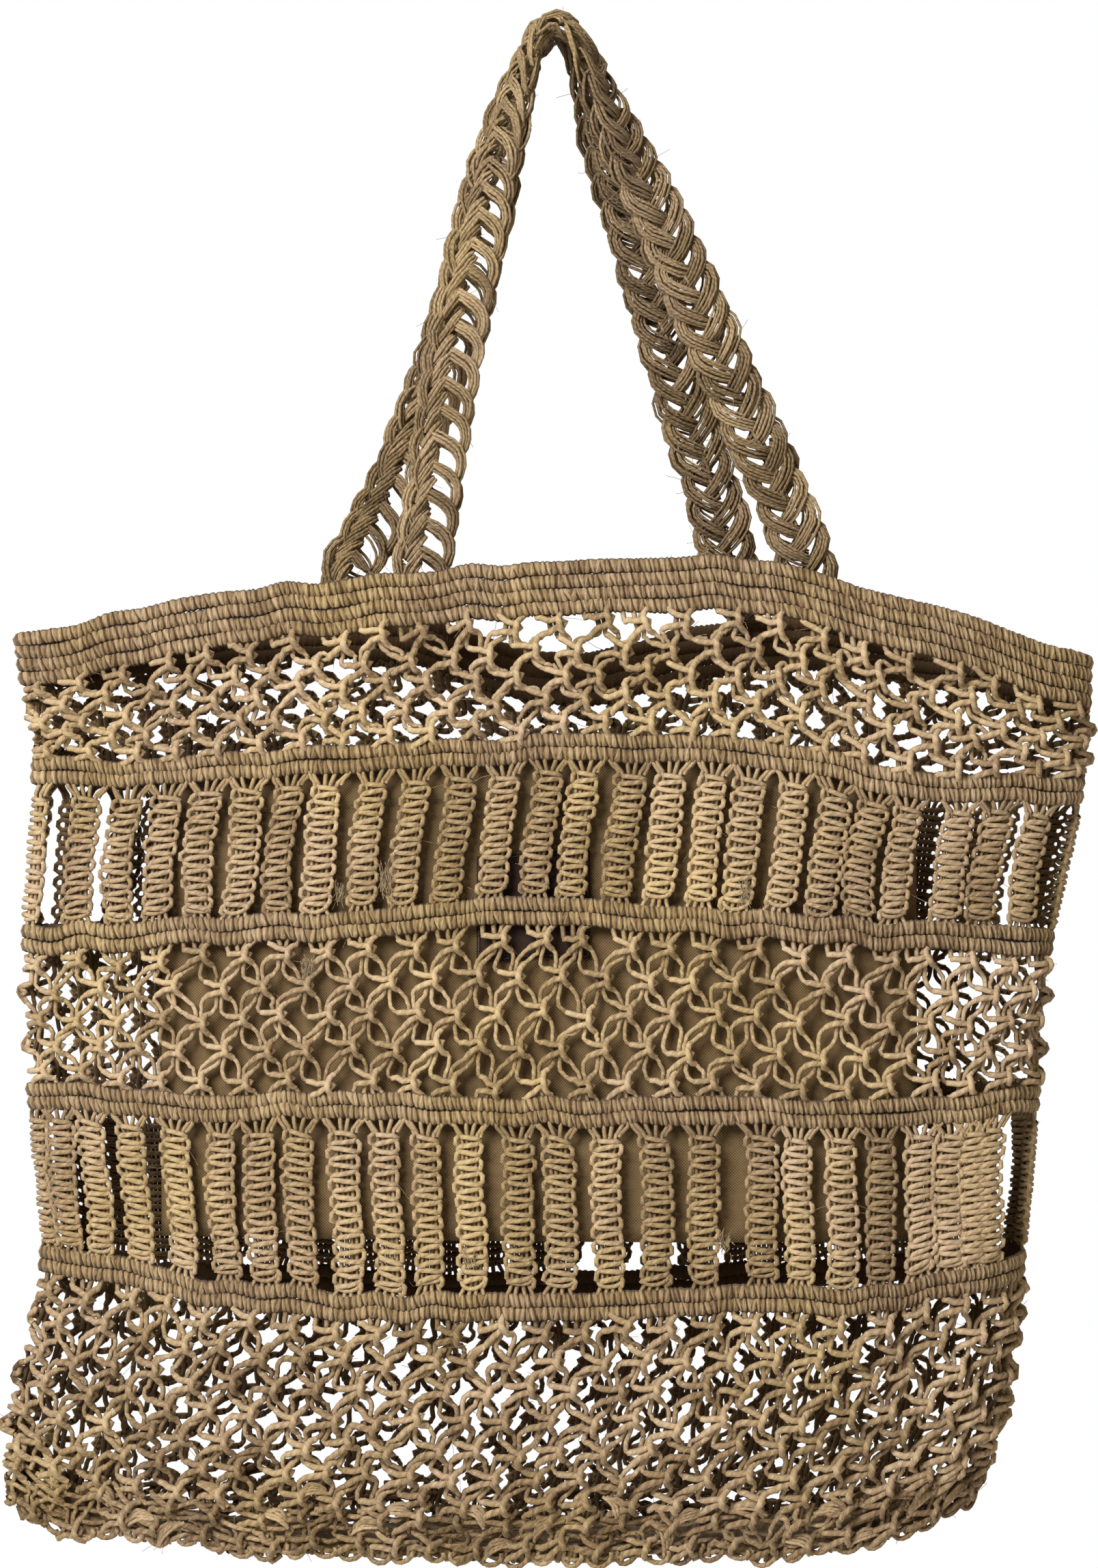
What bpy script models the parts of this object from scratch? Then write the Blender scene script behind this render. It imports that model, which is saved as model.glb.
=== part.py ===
"""A macrame tote bag of jute cord, hanging by its two crocheted handles.

The bag wall is one closed, slightly skewed tube. It is knotted in bands: a rim, nets of square knots
and bands of upright bars, with rows of hitches between them. Metres, +Z up, the front faces -Y.
The origin is the place under the top of the handles where a hook or a hand holds the bag.
"""
import math

import bmesh
import bpy
from mathutils import Vector

# Driving sizes in metres
BAG_WIDTH = 0.420
BAG_HEIGHT = 0.392
BAG_DEPTH = 0.092
HANDLE_DROP = 0.208
WALL = 0.0048
GAP = 0.0003
SEAM = 0.0006

# Rows of hitches: each row is one cord thick roll
HITCH_ROW = 0.0052
HITCH_THICKNESS = 0.0056
RIM_ROWS = 4
PAIR_ROWS = 2
WAIST_SHARE = 0.6

# Bars and nets: one module of the wall is two bars, or one wide gap of the net
MODULES = 25
COLUMNS = 2 * MODULES
FIRST_COLUMN = 0.5 / COLUMNS
FACING_STEP = 0.004
FRONT_MIDDLE = 0.25
SEAT_ROUNDS = 6
SLOT_WIDTH = 0.0045
BAR_STRIP = 0.0050
BAR_GROOVE = 0.0012
NET_STRIP = 0.0042
NET_KNOT = 0.0105

# Closed bottom
BASE_EDGE = 0.020
BASE_ROUND = 0.006
BASE_SEAM = 0.0008
FLOOR_SHARE = 0.80

# Canvas pouch behind the front wall
POUCH_WIDTH = 0.297
POUCH_HEIGHT = 0.187
POUCH_LEFT = -0.155
POUCH_BULGE = 0.016
POUCH_EDGE = 0.0034
POUCH_CLOTH = 0.0012
POUCH_LAP = 0.0035
POUCH_GAP = 0.0009
POUCH_COLUMNS = 9
POUCH_ROWS = 5
BELLY_LEAST = 0.35
BELLY_MOUTH = 0.25

# Crocheted handles
STRAP_WIDTH = 0.0250
STRAP_THICKNESS = 0.0090
STRAP_LAP = 0.0150
FOOT_SPREAD = 0.1545
BACK_SHIFT = -0.029
FOOT_LEAN = 1.5
STRAP_STATIONS = 34
STRAP_CORNERS = 8
CORNER_WIDTH = 0.72
CORNER_THICKNESS = 0.42

# The lens-shaped section: the left side is pinched, the right side is blunt
LEFT_PINCH = 0.75
RIGHT_BLUNT = 0.36
LENS_SAMPLES = 160

# Sections of the wall from the rim to the base. left and right are shares of BAG_WIDTH from the hang
# point, depth is a share of BAG_DEPTH, and drops are shares of BAG_HEIGHT below the rim's crown at
# twelve stations: the left end, five along the front, the right end and five back along the back.
SECTIONS = (
    {"name": "rim", "left": -0.506, "right": 0.503, "depth": 0.48,
     "drops": (0.071, 0.034, 0.0135, 0.002, 0.000, 0.043, 0.094, 0.069, 0.055, 0.091, 0.045, 0.051)},
    {"name": "pair_1", "left": -0.489, "right": 0.494, "depth": 0.61,
     "drops": (0.213, 0.207, 0.196, 0.188, 0.191, 0.226, 0.228, 0.225, 0.210, 0.215, 0.205, 0.210)},
    {"name": "pair_2", "left": -0.498, "right": 0.465, "depth": 0.72,
     "drops": (0.379, 0.370, 0.362, 0.348, 0.362, 0.375, 0.383, 0.380, 0.372, 0.365, 0.368, 0.372)},
    {"name": "pair_3", "left": -0.493, "right": 0.452, "depth": 0.85,
     "drops": (0.537, 0.546, 0.543, 0.550, 0.546, 0.551, 0.538, 0.545, 0.550, 0.552, 0.548, 0.545)},
    {"name": "pair_4", "left": -0.481, "right": 0.438, "depth": 1.00,
     "drops": (0.704, 0.730, 0.743, 0.740, 0.733, 0.729, 0.704, 0.725, 0.735, 0.742, 0.740, 0.728)},
    {"name": "bulge", "left": -0.510, "right": 0.424, "depth": 0.94,
     "drops": (0.850, 0.870, 0.876, 0.876, 0.876, 0.866, 0.838, 0.864, 0.874, 0.876, 0.876, 0.866)},
    {"name": "base", "left": -0.518, "right": 0.392, "depth": 0.76,
     "drops": (0.940, 0.990, 1.000, 1.000, 1.000, 0.993, 0.951, 0.990, 1.000, 1.000, 1.000, 0.988)},
)
RIM, PAIR_1, PAIR_2, PAIR_3, PAIR_4, BULGE, BASE = range(len(SECTIONS))

# Upright folds pressed into the wall: around is the place as a share of the way round, width is a share
# of the way round, dent is a share of BAG_DEPTH, and the fold runs from one section to another
FOLDS = (
    {"name": "left_crease", "around": 0.045, "width": 0.020, "dent": 0.05, "start": 3.2, "end": 6.5},
    {"name": "middle_hollow", "around": 0.250, "width": 0.060, "dent": 0.04, "start": 0.6, "end": 3.4},
    {"name": "right_crease", "around": 0.425, "width": 0.022, "dent": 0.06, "start": 2.6, "end": 6.0},
    {"name": "back_hollow", "around": 0.740, "width": 0.090, "dent": 0.08, "start": -0.5, "end": 4.0},
)

# The strap's run: along is a share of FOOT_SPREAD from the hang point, drop is a share of HANDLE_DROP,
# and turn is how far the strap has turned from facing front (0) to lying over the hook (1)
STRAP_RUN = (
    {"name": "left_foot", "along": -0.345, "drop": 1.020, "turn": 0.00},
    {"name": "left_low", "along": -0.310, "drop": 0.854, "turn": 0.00},
    {"name": "left_middle", "along": -0.272, "drop": 0.658, "turn": 0.00},
    {"name": "left_high", "along": -0.205, "drop": 0.410, "turn": 0.08},
    {"name": "left_turn", "along": -0.122, "drop": 0.165, "turn": 0.55},
    {"name": "left_hook", "along": -0.060, "drop": 0.028, "turn": 0.92},
    {"name": "top", "along": 0.000, "drop": -0.0216, "turn": 1.00},
    {"name": "right_hook", "along": 0.066, "drop": 0.026, "turn": 0.92},
    {"name": "right_turn", "along": 0.150, "drop": 0.165, "turn": 0.55},
    {"name": "right_high", "along": 0.305, "drop": 0.410, "turn": 0.08},
    {"name": "right_middle", "along": 0.448, "drop": 0.658, "turn": 0.00},
    {"name": "right_low", "along": 0.570, "drop": 0.860, "turn": 0.00},
    {"name": "right_foot", "along": 0.655, "drop": 1.035, "turn": 0.00},
)

# Jute twine and canvas colours
JUTE = (0.50, 0.36, 0.20, 1.0)
JUTE_HANDLE = (0.46, 0.35, 0.22, 1.0)
CANVAS = (0.075, 0.055, 0.035, 1.0)


def clear_scene():
    """Start from an empty scene."""
    for old in list(bpy.data.objects):
        bpy.data.objects.remove(old, do_unlink=True)


def finish_material(name, colour, roughness):
    """A plain Principled material."""
    material = bpy.data.materials.new(name)
    material.use_nodes = True
    shader = material.node_tree.nodes["Principled BSDF"]
    shader.inputs["Base Color"].default_value = colour
    shader.inputs["Roughness"].default_value = roughness
    shader.inputs["Metallic"].default_value = 0.0
    return material


def through(values, place, closed=False):
    """Catmull-Rom curve through a row of values, at a place counted in steps."""
    count = len(values)
    if not closed:
        place = min(max(place, 0.0), count - 1.0)
    step = math.floor(place)
    part = place - step
    near = []
    for shift in (-1, 0, 1, 2):
        index = step + shift
        index = index % count if closed else min(max(index, 0), count - 1)
        near.append(values[index])
    a, b, c, d = near
    return b + 0.5 * part * (c - a + part * (2 * a - 5 * b + 4 * c - d + part * (3 * (b - c) + d - a)))


def lens(width_share):
    """Half depth of the section at a share of its width, with its deepest place at 1."""
    crest = LEFT_PINCH / (LEFT_PINCH + RIGHT_BLUNT)
    highest = crest ** LEFT_PINCH * (1 - crest) ** RIGHT_BLUNT
    return width_share ** LEFT_PINCH * (1 - width_share) ** RIGHT_BLUNT / highest


def section_sizes(level):
    """Left end, right end and half depth of the wall at a level between the sections."""
    left = through([row["left"] for row in SECTIONS], level) * BAG_WIDTH
    right = through([row["right"] for row in SECTIONS], level) * BAG_WIDTH
    depth = through([row["depth"] for row in SECTIONS], level) * BAG_DEPTH
    return left, right, depth / 2


def half_girth(level):
    """Points along the front half of a section with their running length, from left to right."""
    left, right, half_depth = section_sizes(level)
    points = []
    length = 0.0
    for step in range(LENS_SAMPLES + 1):
        share = 0.5 - 0.5 * math.cos(math.pi * step / LENS_SAMPLES)
        x = left + (right - left) * share
        y = -half_depth * lens(share)
        if points:
            length += math.hypot(x - points[-1][1], y - points[-1][2])
        points.append((length, x, y))
    return points


def on_section(level, around):
    """Place on the section, evenly spaced by length; around runs from the left end by the front."""
    around = around % 1.0
    front = around <= 0.5
    points = half_girth(level)
    wanted = points[-1][0] * (2 * around if front else 2 * (1 - around))
    for first, second in zip(points, points[1:]):
        if wanted <= second[0]:
            part = (wanted - first[0]) / max(second[0] - first[0], 1e-9)
            x = first[1] + (second[1] - first[1]) * part
            y = first[2] + (second[2] - first[2]) * part
            return x, (y if front else -y)
    return points[-1][1], points[-1][2]


def height_at(level, around):
    """Height of the wall's line at a level, with the sag of the hems."""
    station = (around % 1.0) * len(SECTIONS[0]["drops"])
    low = min(int(level), len(SECTIONS) - 2)
    upper = through(SECTIONS[low]["drops"], station, closed=True)
    lower = through(SECTIONS[low + 1]["drops"], station, closed=True)
    drop = upper + (lower - upper) * (level - low)
    return -HANDLE_DROP - drop * BAG_HEIGHT


def fold_dent(level, around):
    """How far the folds push the wall in."""
    dent = 0.0
    for fold in FOLDS:
        off = (around - fold["around"] + 0.5) % 1.0 - 0.5
        middle = (fold["start"] + fold["end"]) / 2
        reach = (fold["end"] - fold["start"]) / 2
        along = max(0.0, 1 - ((level - middle) / reach) ** 2)
        dent += fold["dent"] * BAG_DEPTH * along * math.exp(-(off / fold["width"]) ** 2)
    return dent


def wall(level, around, out=0.0):
    """Point of the bag wall, moved out of its middle surface by a distance."""
    x, y = on_section(level, around)
    before = on_section(level, around - FACING_STEP)
    after = on_section(level, around + FACING_STEP)
    along = Vector((after[0] - before[0], after[1] - before[1], 0.0)).normalized()
    outward = Vector((along.y, -along.x, 0.0))
    base = Vector((x, y, height_at(level, around)))
    return base + outward * (out - fold_dent(level, around))


def below(section, around, distance):
    """Level that lies a distance under a section's line, or above it where the distance is negative."""
    start = float(section)
    toward = section + 1 if distance >= 0 else section - 1
    if toward < 0 or toward >= len(SECTIONS):
        toward = section - 1 if distance >= 0 else section + 1
    span = height_at(start, around) - height_at(float(toward), around)
    return start + (toward - start) * distance / span


def columns_around():
    """Places of the upright columns of the wall, none of them on the pinched left end."""
    return [column / COLUMNS + FIRST_COLUMN for column in range(COLUMNS)]


def new_object(name, mesh, material):
    """Put a mesh in the bag's collection as one named object."""
    mesh.name = name
    mesh.materials.append(material)
    piece = bpy.data.objects.new(name, mesh)
    bag.objects.link(piece)
    return piece


def mesh_from(points, faces):
    """A clean mesh with its normals made consistent."""
    shape = bmesh.new()
    corners = [shape.verts.new(point) for point in points]
    for face in faces:
        shape.faces.new([corners[index] for index in face])
    bmesh.ops.remove_doubles(shape, verts=shape.verts, dist=1e-6)
    bmesh.ops.recalc_face_normals(shape, faces=shape.faces)
    mesh = bpy.data.meshes.new("shape")
    shape.to_mesh(mesh)
    shape.free()
    return mesh


def add_thickness(piece, thickness):
    """Give an open sheet its thickness, half on each side."""
    solid = piece.modifiers.new("thickness", "SOLIDIFY")
    solid.thickness = thickness
    solid.offset = 0.0
    solid.use_even_offset = True
    return solid


def hitch_ring(name, section, first_row, rows):
    """A closed roll of hitch rows: ribbed outside, plain inside."""
    height = rows * HITCH_ROW
    half = HITCH_THICKNESS / 2
    profile = [(0.0, 0.0)]
    for row in range(rows):
        profile.append((half, (row + 0.5) * HITCH_ROW))
        if row < rows - 1:
            profile.append((half * WAIST_SHARE, (row + 1) * HITCH_ROW))
    profile.append((0.0, height))
    if rows > PAIR_ROWS:
        profile.append((-half, height - HITCH_ROW / 2))
        profile.append((-half, HITCH_ROW / 2))
    else:
        profile.append((-half, height / 2))
    top = first_row * HITCH_ROW
    points = []
    for around in columns_around():
        for out, down in profile:
            points.append(wall(below(section, around, top + down), around, out))
    sides = len(profile)
    faces = []
    for column in range(COLUMNS):
        after = (column + 1) % COLUMNS
        for side in range(sides):
            over = (side + 1) % sides
            faces.append((column * sides + side, column * sides + over,
                          after * sides + over, after * sides + side))
    return new_object(name, mesh_from(points, faces), jute)


def band_edges(upper_section, upper_rows, lower_section, lower_rows):
    """Functions for a band's upper and lower level between two hitch rings."""
    def top(around):
        return below(upper_section, around, upper_rows * HITCH_ROW + SEAM)

    def bottom(around):
        return below(lower_section, around, -lower_rows * HITCH_ROW - SEAM)
    return top, bottom


def patterned_ring(name, edges, corners, faces):
    """A pierced band: one module's corners (along, down, out) and faces, repeated round the bag."""
    top, bottom = edges
    points = []
    all_faces = []
    for module in range(MODULES):
        start = len(points)
        for along, down, out in corners:
            around = (module + along) / MODULES + FIRST_COLUMN
            level = top(around) + (bottom(around) - top(around)) * down
            points.append(wall(level, around, out))
        for face in faces:
            all_faces.append([start + index for index in face])
    piece = new_object(name, mesh_from(points, all_faces), jute)
    add_thickness(piece, WALL)
    return piece


def half_share(width):
    """Half of a width as a share of one module of the wall."""
    girth = 2 * half_girth(PAIR_2)[-1][0]
    return width * MODULES / girth / 2


def bar_band(name, edges, height):
    """Upright bars in pairs, with a slot between the pairs and a groove between the two bars."""
    slot = half_share(SLOT_WIDTH)
    strip = BAR_STRIP / height
    columns = ((-slot, 0.0), (slot, 0.0), (0.5, -BAR_GROOVE), (1 - slot, 0.0))
    rows = (0.0, strip, 1 - strip, 1.0)
    corners = [(along, down, out) for down in rows for along, out in columns]
    faces = []
    for row in range(3):
        for column in range(3):
            is_slot = row == 1 and column == 0
            if not is_slot:
                first = row * 4 + column
                faces.append((first, first + 1, first + 5, first + 4))
    return patterned_ring(name, edges, corners, faces)


def net_band(name, edges, height):
    """A net with one diamond gap in each module; the solid between two gaps is a column of knots."""
    knot = half_share(NET_KNOT)
    strip = NET_STRIP / height
    corners = (
        (0.0, 0.0, 0.0), (0.5, 0.0, 0.0), (1.0, 0.0, 0.0),
        (0.0, 0.5, 0.0), (knot, 0.5, 0.0), (1 - knot, 0.5, 0.0), (1.0, 0.5, 0.0),
        (0.5, strip, 0.0), (0.5, 1 - strip, 0.0),
        (0.0, 1.0, 0.0), (0.5, 1.0, 0.0), (1.0, 1.0, 0.0),
    )
    faces = (
        (0, 1, 7, 4), (0, 4, 3), (1, 2, 5, 7), (2, 6, 5),
        (3, 4, 9), (4, 8, 10, 9), (5, 6, 11), (8, 5, 11, 10),
    )
    return patterned_ring(name, edges, corners, faces)


def band_height(edges):
    """Mean height of a band in metres."""
    top, bottom = edges
    total = 0.0
    for around in columns_around():
        total += height_at(top(around), around) - height_at(bottom(around), around)
    return total / COLUMNS


def closed_cap(count):
    """Faces that close a ring of points, joining the front points to the back points."""
    return [(index, index + 1, count - 2 - index, count - 1 - index) for index in range(count // 2 - 1)]


def lofted_cup(name, rings, thickness, material):
    """An open cup through rings of points, closed by a cap at the last ring."""
    count = len(rings[0])
    points = [point for ring in rings for point in ring]
    faces = []
    for level in range(len(rings) - 1):
        for index in range(count):
            after = (index + 1) % count
            faces.append((level * count + index, level * count + after,
                          (level + 1) * count + after, (level + 1) * count + index))
    last = (len(rings) - 1) * count
    for face in closed_cap(count):
        faces.append([last + index for index in face])
    piece = new_object(name, mesh_from(points, faces), material)
    add_thickness(piece, thickness)
    return piece


def base_edge_level(around):
    """Level where the lower net ends and the closed bottom begins."""
    return below(BASE, around, -BASE_EDGE)


def make_base():
    """The dense edge under the lower net and the flat floor that closes the bag."""
    left, right, _ = section_sizes(BASE)
    centre = (left + right) / 2
    floor = -HANDLE_DROP - BAG_HEIGHT + WALL / 2
    upper = []
    lower = []
    inner = []
    for around in columns_around():
        upper.append(wall(below(BASE, around, BASE_SEAM - BASE_EDGE), around))
        edge = wall(below(BASE, around, -BASE_ROUND), around)
        lower.append(edge)
        inner.append(Vector((centre + (edge.x - centre) * FLOOR_SHARE, edge.y * FLOOR_SHARE, floor)))
    return lofted_cup("base_net", [upper, lower, inner], WALL, jute)


def inner_face(x, z, side):
    """Depth of the wall's inner face at x and z; side is -1 for the front wall and +1 for the back."""
    level = 0.0
    around = FRONT_MIDDLE
    for _ in range(SEAT_ROUNDS):
        left, right, _half = section_sizes(level)
        share = min(max((x - left) / (right - left), 0.01), 0.99)
        around = on_front_share(level, share)
        if side > 0:
            around = 1 - around
        level = level_of_height(z, around)
    return wall(level, around).y - side * HITCH_THICKNESS / 2


def on_front_share(level, share):
    """Way round the bag at a share of the front's width."""
    points = half_girth(level)
    left, right = points[0][1], points[-1][1]
    wanted = left + (right - left) * share
    for first, second in zip(points, points[1:]):
        if wanted <= second[1]:
            return 0.5 * second[0] / points[-1][0]
    return 0.5


def level_of_height(z, around):
    """Level at which the wall's line passes a height."""
    if z >= height_at(0.0, around):
        return 0.0
    for index in range(len(SECTIONS) - 1):
        upper = height_at(float(index), around)
        lower = height_at(float(index + 1), around)
        if z >= lower:
            return index + (upper - z) / (upper - lower)
    return float(BASE)


def make_pouch():
    """A flat canvas pouch, open at the top, hung against the inside of the front wall."""
    rings = []
    half_column = POUCH_WIDTH / POUCH_COLUMNS / 2
    left, right, _half = section_sizes(PAIR_1)
    lap = POUCH_LAP - PAIR_ROWS / 2 * HITCH_ROW
    bottom = height_at(PAIR_1, FRONT_MIDDLE) + lap - POUCH_HEIGHT
    for row in range(POUCH_ROWS + 1):
        down = row / POUCH_ROWS
        front = []
        back = []
        for column in range(POUCH_COLUMNS + 1):
            across = column / POUCH_COLUMNS
            x = POUCH_LEFT + POUCH_WIDTH * across
            around = on_front_share(PAIR_1, (x - left) / (right - left))
            top = height_at(PAIR_1, around) + lap
            z = top + (bottom - top) * down
            nearby = [inner_face(x + off, z, -1) for off in (-half_column, 0.0, half_column)]
            near = max(nearby) + POUCH_GAP + POUCH_CLOTH / 2
            low = math.sin(math.pi * (BELLY_MOUTH + (1 - BELLY_MOUTH) * down))
            belly = math.sqrt(max(math.sin(math.pi * across), 0.0)) * (BELLY_LEAST + (1 - BELLY_LEAST) * low)
            thick = POUCH_EDGE + (POUCH_BULGE - POUCH_EDGE) * belly
            front.append(Vector((x, near, z)))
            back.append(Vector((x, near + thick, z)))
        rings.append(front + back[::-1])
    return lofted_cup("inner_pouch", rings, POUCH_CLOTH, canvas)


def strap_row(column):
    """One column of the strap's run as a list."""
    return [row[column] for row in STRAP_RUN]


def make_handle(name, side, shift):
    """A crocheted strap from one foot over the hook to the other foot; side is -1 in front, +1 behind."""
    steps = len(STRAP_RUN) - 1
    half_width = STRAP_WIDTH / 2
    half_thick = STRAP_THICKNESS / 2
    hook_y = side * (half_width + GAP)
    foot_height = -HANDLE_DROP * STRAP_RUN[0]["drop"] - STRAP_LAP / 2
    feet_y = []
    for end in (0, -1):
        x = STRAP_RUN[end]["along"] * FOOT_SPREAD + shift
        seats = [inner_face(x + off, foot_height, side) for off in (-half_width, 0.0, half_width)]
        nearest = min(seats, key=abs)
        feet_y.append(nearest - side * (GAP + half_thick))
    centres = []
    turns = []
    for station in range(STRAP_STATIONS + 1):
        place = steps * station / STRAP_STATIONS
        along = through(strap_row("along"), place) * FOOT_SPREAD
        drop = through(strap_row("drop"), place) * HANDLE_DROP
        turn = min(max(through(strap_row("turn"), place), 0.0), 1.0)
        foot_y = feet_y[0] if place < steps / 2 else feet_y[1]
        lean = min(max(drop / HANDLE_DROP, 0.0), 1.0)
        x = along + shift * lean
        y = hook_y + (foot_y - hook_y) * lean ** FOOT_LEAN
        centres.append(Vector((x, y, -drop)))
        turns.append(turn * math.pi / 2)
    centres.insert(0, centres[0] - Vector((0, 0, STRAP_LAP)))
    centres.append(centres[-1] - Vector((0, 0, STRAP_LAP)))
    turns = [turns[0]] + turns + [turns[-1]]
    outline = []
    for corner in range(STRAP_CORNERS):
        angle = 2 * math.pi * (corner + 0.5) / STRAP_CORNERS
        at_side = abs(math.cos(angle)) > abs(math.sin(angle))
        width = half_width * (1.0 if at_side else CORNER_WIDTH)
        thick = half_thick * (CORNER_THICKNESS if at_side else 1.0)
        outline.append((math.copysign(width, math.cos(angle)), math.copysign(thick, math.sin(angle))))
    points = []
    for index, centre in enumerate(centres):
        before = centres[max(index - 1, 0)]
        after = centres[min(index + 1, len(centres) - 1)]
        run = (after - before).normalized()
        face = Vector((0, 1, 0))
        face = (face - run * face.dot(run)).normalized()
        across = run.cross(face)
        turned = across * math.cos(turns[index]) + face * math.sin(turns[index])
        flat = run.cross(turned)
        for width, thick in outline:
            points.append(centre + turned * width + flat * thick)
    sides = len(outline)
    faces = [list(range(sides)), [len(points) - sides + index for index in range(sides)]]
    for index in range(len(centres) - 1):
        for corner in range(sides):
            over = (corner + 1) % sides
            faces.append((index * sides + corner, index * sides + over,
                          (index + 1) * sides + over, (index + 1) * sides + corner))
    return new_object(name, mesh_from(points, faces), handle_jute)


clear_scene()
bag = bpy.data.collections.new("macrame_tote")
bpy.context.scene.collection.children.link(bag)
jute = finish_material("jute_cord", JUTE, 0.9)
handle_jute = finish_material("jute_crochet", JUTE_HANDLE, 0.92)
canvas = finish_material("canvas_pouch", CANVAS, 0.85)

hitch_ring("rim_band", RIM, 0, RIM_ROWS)
for number, section in enumerate((PAIR_1, PAIR_2, PAIR_3, PAIR_4), start=1):
    hitch_ring(f"hitch_rows_{number}", section, -PAIR_ROWS / 2, PAIR_ROWS)

half_pair = PAIR_ROWS / 2
upper_net_edges = band_edges(RIM, RIM_ROWS, PAIR_1, half_pair)
net_band("upper_net", upper_net_edges, band_height(upper_net_edges))
upper_bar_edges = band_edges(PAIR_1, half_pair, PAIR_2, half_pair)
bar_band("upper_bars", upper_bar_edges, band_height(upper_bar_edges))
middle_net_edges = band_edges(PAIR_2, half_pair, PAIR_3, half_pair)
net_band("middle_net", middle_net_edges, band_height(middle_net_edges))
lower_bar_edges = band_edges(PAIR_3, half_pair, PAIR_4, half_pair)
bar_band("lower_bars", lower_bar_edges, band_height(lower_bar_edges))
lower_net_edges = (band_edges(PAIR_4, half_pair, BASE, 0)[0], base_edge_level)
net_band("lower_net", lower_net_edges, band_height(lower_net_edges))
make_base()
make_pouch()
make_handle("handle_front", -1, 0.0)
make_handle("handle_back", 1, BACK_SHIFT)
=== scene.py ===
"""A macrame tote bag of jute twine, hanging by its two crocheted handles."""
import math

import bpy
import numpy as np
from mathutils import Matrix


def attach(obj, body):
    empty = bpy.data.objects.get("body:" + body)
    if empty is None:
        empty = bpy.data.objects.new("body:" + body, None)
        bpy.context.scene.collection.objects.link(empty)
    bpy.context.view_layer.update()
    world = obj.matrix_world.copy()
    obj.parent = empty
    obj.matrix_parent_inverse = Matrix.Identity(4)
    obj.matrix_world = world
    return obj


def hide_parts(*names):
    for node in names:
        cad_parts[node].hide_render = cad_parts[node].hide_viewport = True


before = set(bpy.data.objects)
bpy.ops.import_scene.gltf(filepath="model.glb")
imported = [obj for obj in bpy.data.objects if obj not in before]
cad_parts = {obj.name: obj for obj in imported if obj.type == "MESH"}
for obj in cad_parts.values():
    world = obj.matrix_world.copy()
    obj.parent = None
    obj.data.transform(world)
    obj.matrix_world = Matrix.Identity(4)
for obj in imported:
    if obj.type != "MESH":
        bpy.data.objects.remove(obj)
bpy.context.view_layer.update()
scene = bpy.context.scene

# The photographer's view: a level camera in front of the bag, far enough away that the
# cords keep their true shapes, framed so that handles and base both clear the edges.
VIEW_DISTANCE = 1.80
VIEW_HEIGHT = -0.2955
VIEW_ACROSS = -0.0021
FRONT_PLANE = -0.030
VIEW_SPAN = 0.6123
SENSOR = 24.0

camera_data = bpy.data.cameras.new("studio_camera")
camera_data.sensor_fit = "VERTICAL"
camera_data.sensor_height = SENSOR
camera_data.lens = SENSOR * VIEW_DISTANCE / VIEW_SPAN
camera = bpy.data.objects.new("studio_camera", camera_data)
scene.collection.objects.link(camera)
camera.location = (VIEW_ACROSS, FRONT_PLANE - VIEW_DISTANCE, VIEW_HEIGHT)
camera.rotation_euler = (math.radians(90), 0, 0)
scene.camera = camera


# The rim: four close rows of clove hitches in two-ply jute twine, tied over a holding cord.
# It is tied first and everything else hangs from its ends, so the way the bag's wall hangs,
# wide at the mouth, pinched at the left and sagging along the hems, is set out here.
BAG_WIDTH = 0.420
BAG_HEIGHT = 0.392
BAG_DEPTH = 0.092
HANDLE_DROP = 0.208
LEFT_PINCH = 0.75
RIGHT_BLUNT = 0.36
RIM, PAIR_1, PAIR_2, PAIR_3, PAIR_4, BULGE, BASE = range(7)
# left end, right end (shares of the width) and depth (share of the depth) of each section
SECTION_ENDS = np.array((
    (-0.506, 0.503, 0.48),
    (-0.489, 0.494, 0.61),
    (-0.498, 0.465, 0.72),
    (-0.493, 0.452, 0.85),
    (-0.481, 0.438, 1.00),
    (-0.510, 0.424, 0.94),
    (-0.518, 0.392, 0.76),
)) * (BAG_WIDTH, BAG_WIDTH, BAG_DEPTH)
# how far each section hangs below the rim's crown, at twelve places round the bag
SECTION_DROPS = np.array((
    (0.071, 0.034, 0.0135, 0.002, 0.000, 0.043, 0.094, 0.069, 0.055, 0.091, 0.045, 0.051),
    (0.213, 0.207, 0.196, 0.188, 0.191, 0.226, 0.228, 0.225, 0.210, 0.215, 0.205, 0.210),
    (0.379, 0.370, 0.362, 0.348, 0.362, 0.375, 0.383, 0.380, 0.372, 0.365, 0.368, 0.372),
    (0.537, 0.546, 0.543, 0.550, 0.546, 0.551, 0.538, 0.545, 0.550, 0.552, 0.548, 0.545),
    (0.704, 0.730, 0.743, 0.740, 0.733, 0.729, 0.704, 0.725, 0.735, 0.742, 0.740, 0.728),
    (0.850, 0.870, 0.876, 0.876, 0.876, 0.866, 0.838, 0.864, 0.874, 0.876, 0.876, 0.866),
    (0.940, 0.990, 1.000, 1.000, 1.000, 0.993, 0.951, 0.990, 1.000, 1.000, 1.000, 0.988),
)) * BAG_HEIGHT
# upright folds: place round the bag, width, dent (share of the depth), first and last section
FOLDS = (
    (0.045, 0.020, 0.05, 3.2, 6.5),
    (0.250, 0.060, 0.04, 0.6, 3.4),
    (0.425, 0.022, 0.06, 2.6, 6.0),
    (0.740, 0.090, 0.08, -0.5, 4.0),
)
# the left bottom corner is full: how far it hangs down past the line between the places round the
# bag, how far round from the bag's left end it hangs lowest, and how wide it is there
LEFT_CORNER_DROP = 0.013
LEFT_CORNER_AT = 0.030
LEFT_CORNER_WIDTH = 0.026
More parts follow.
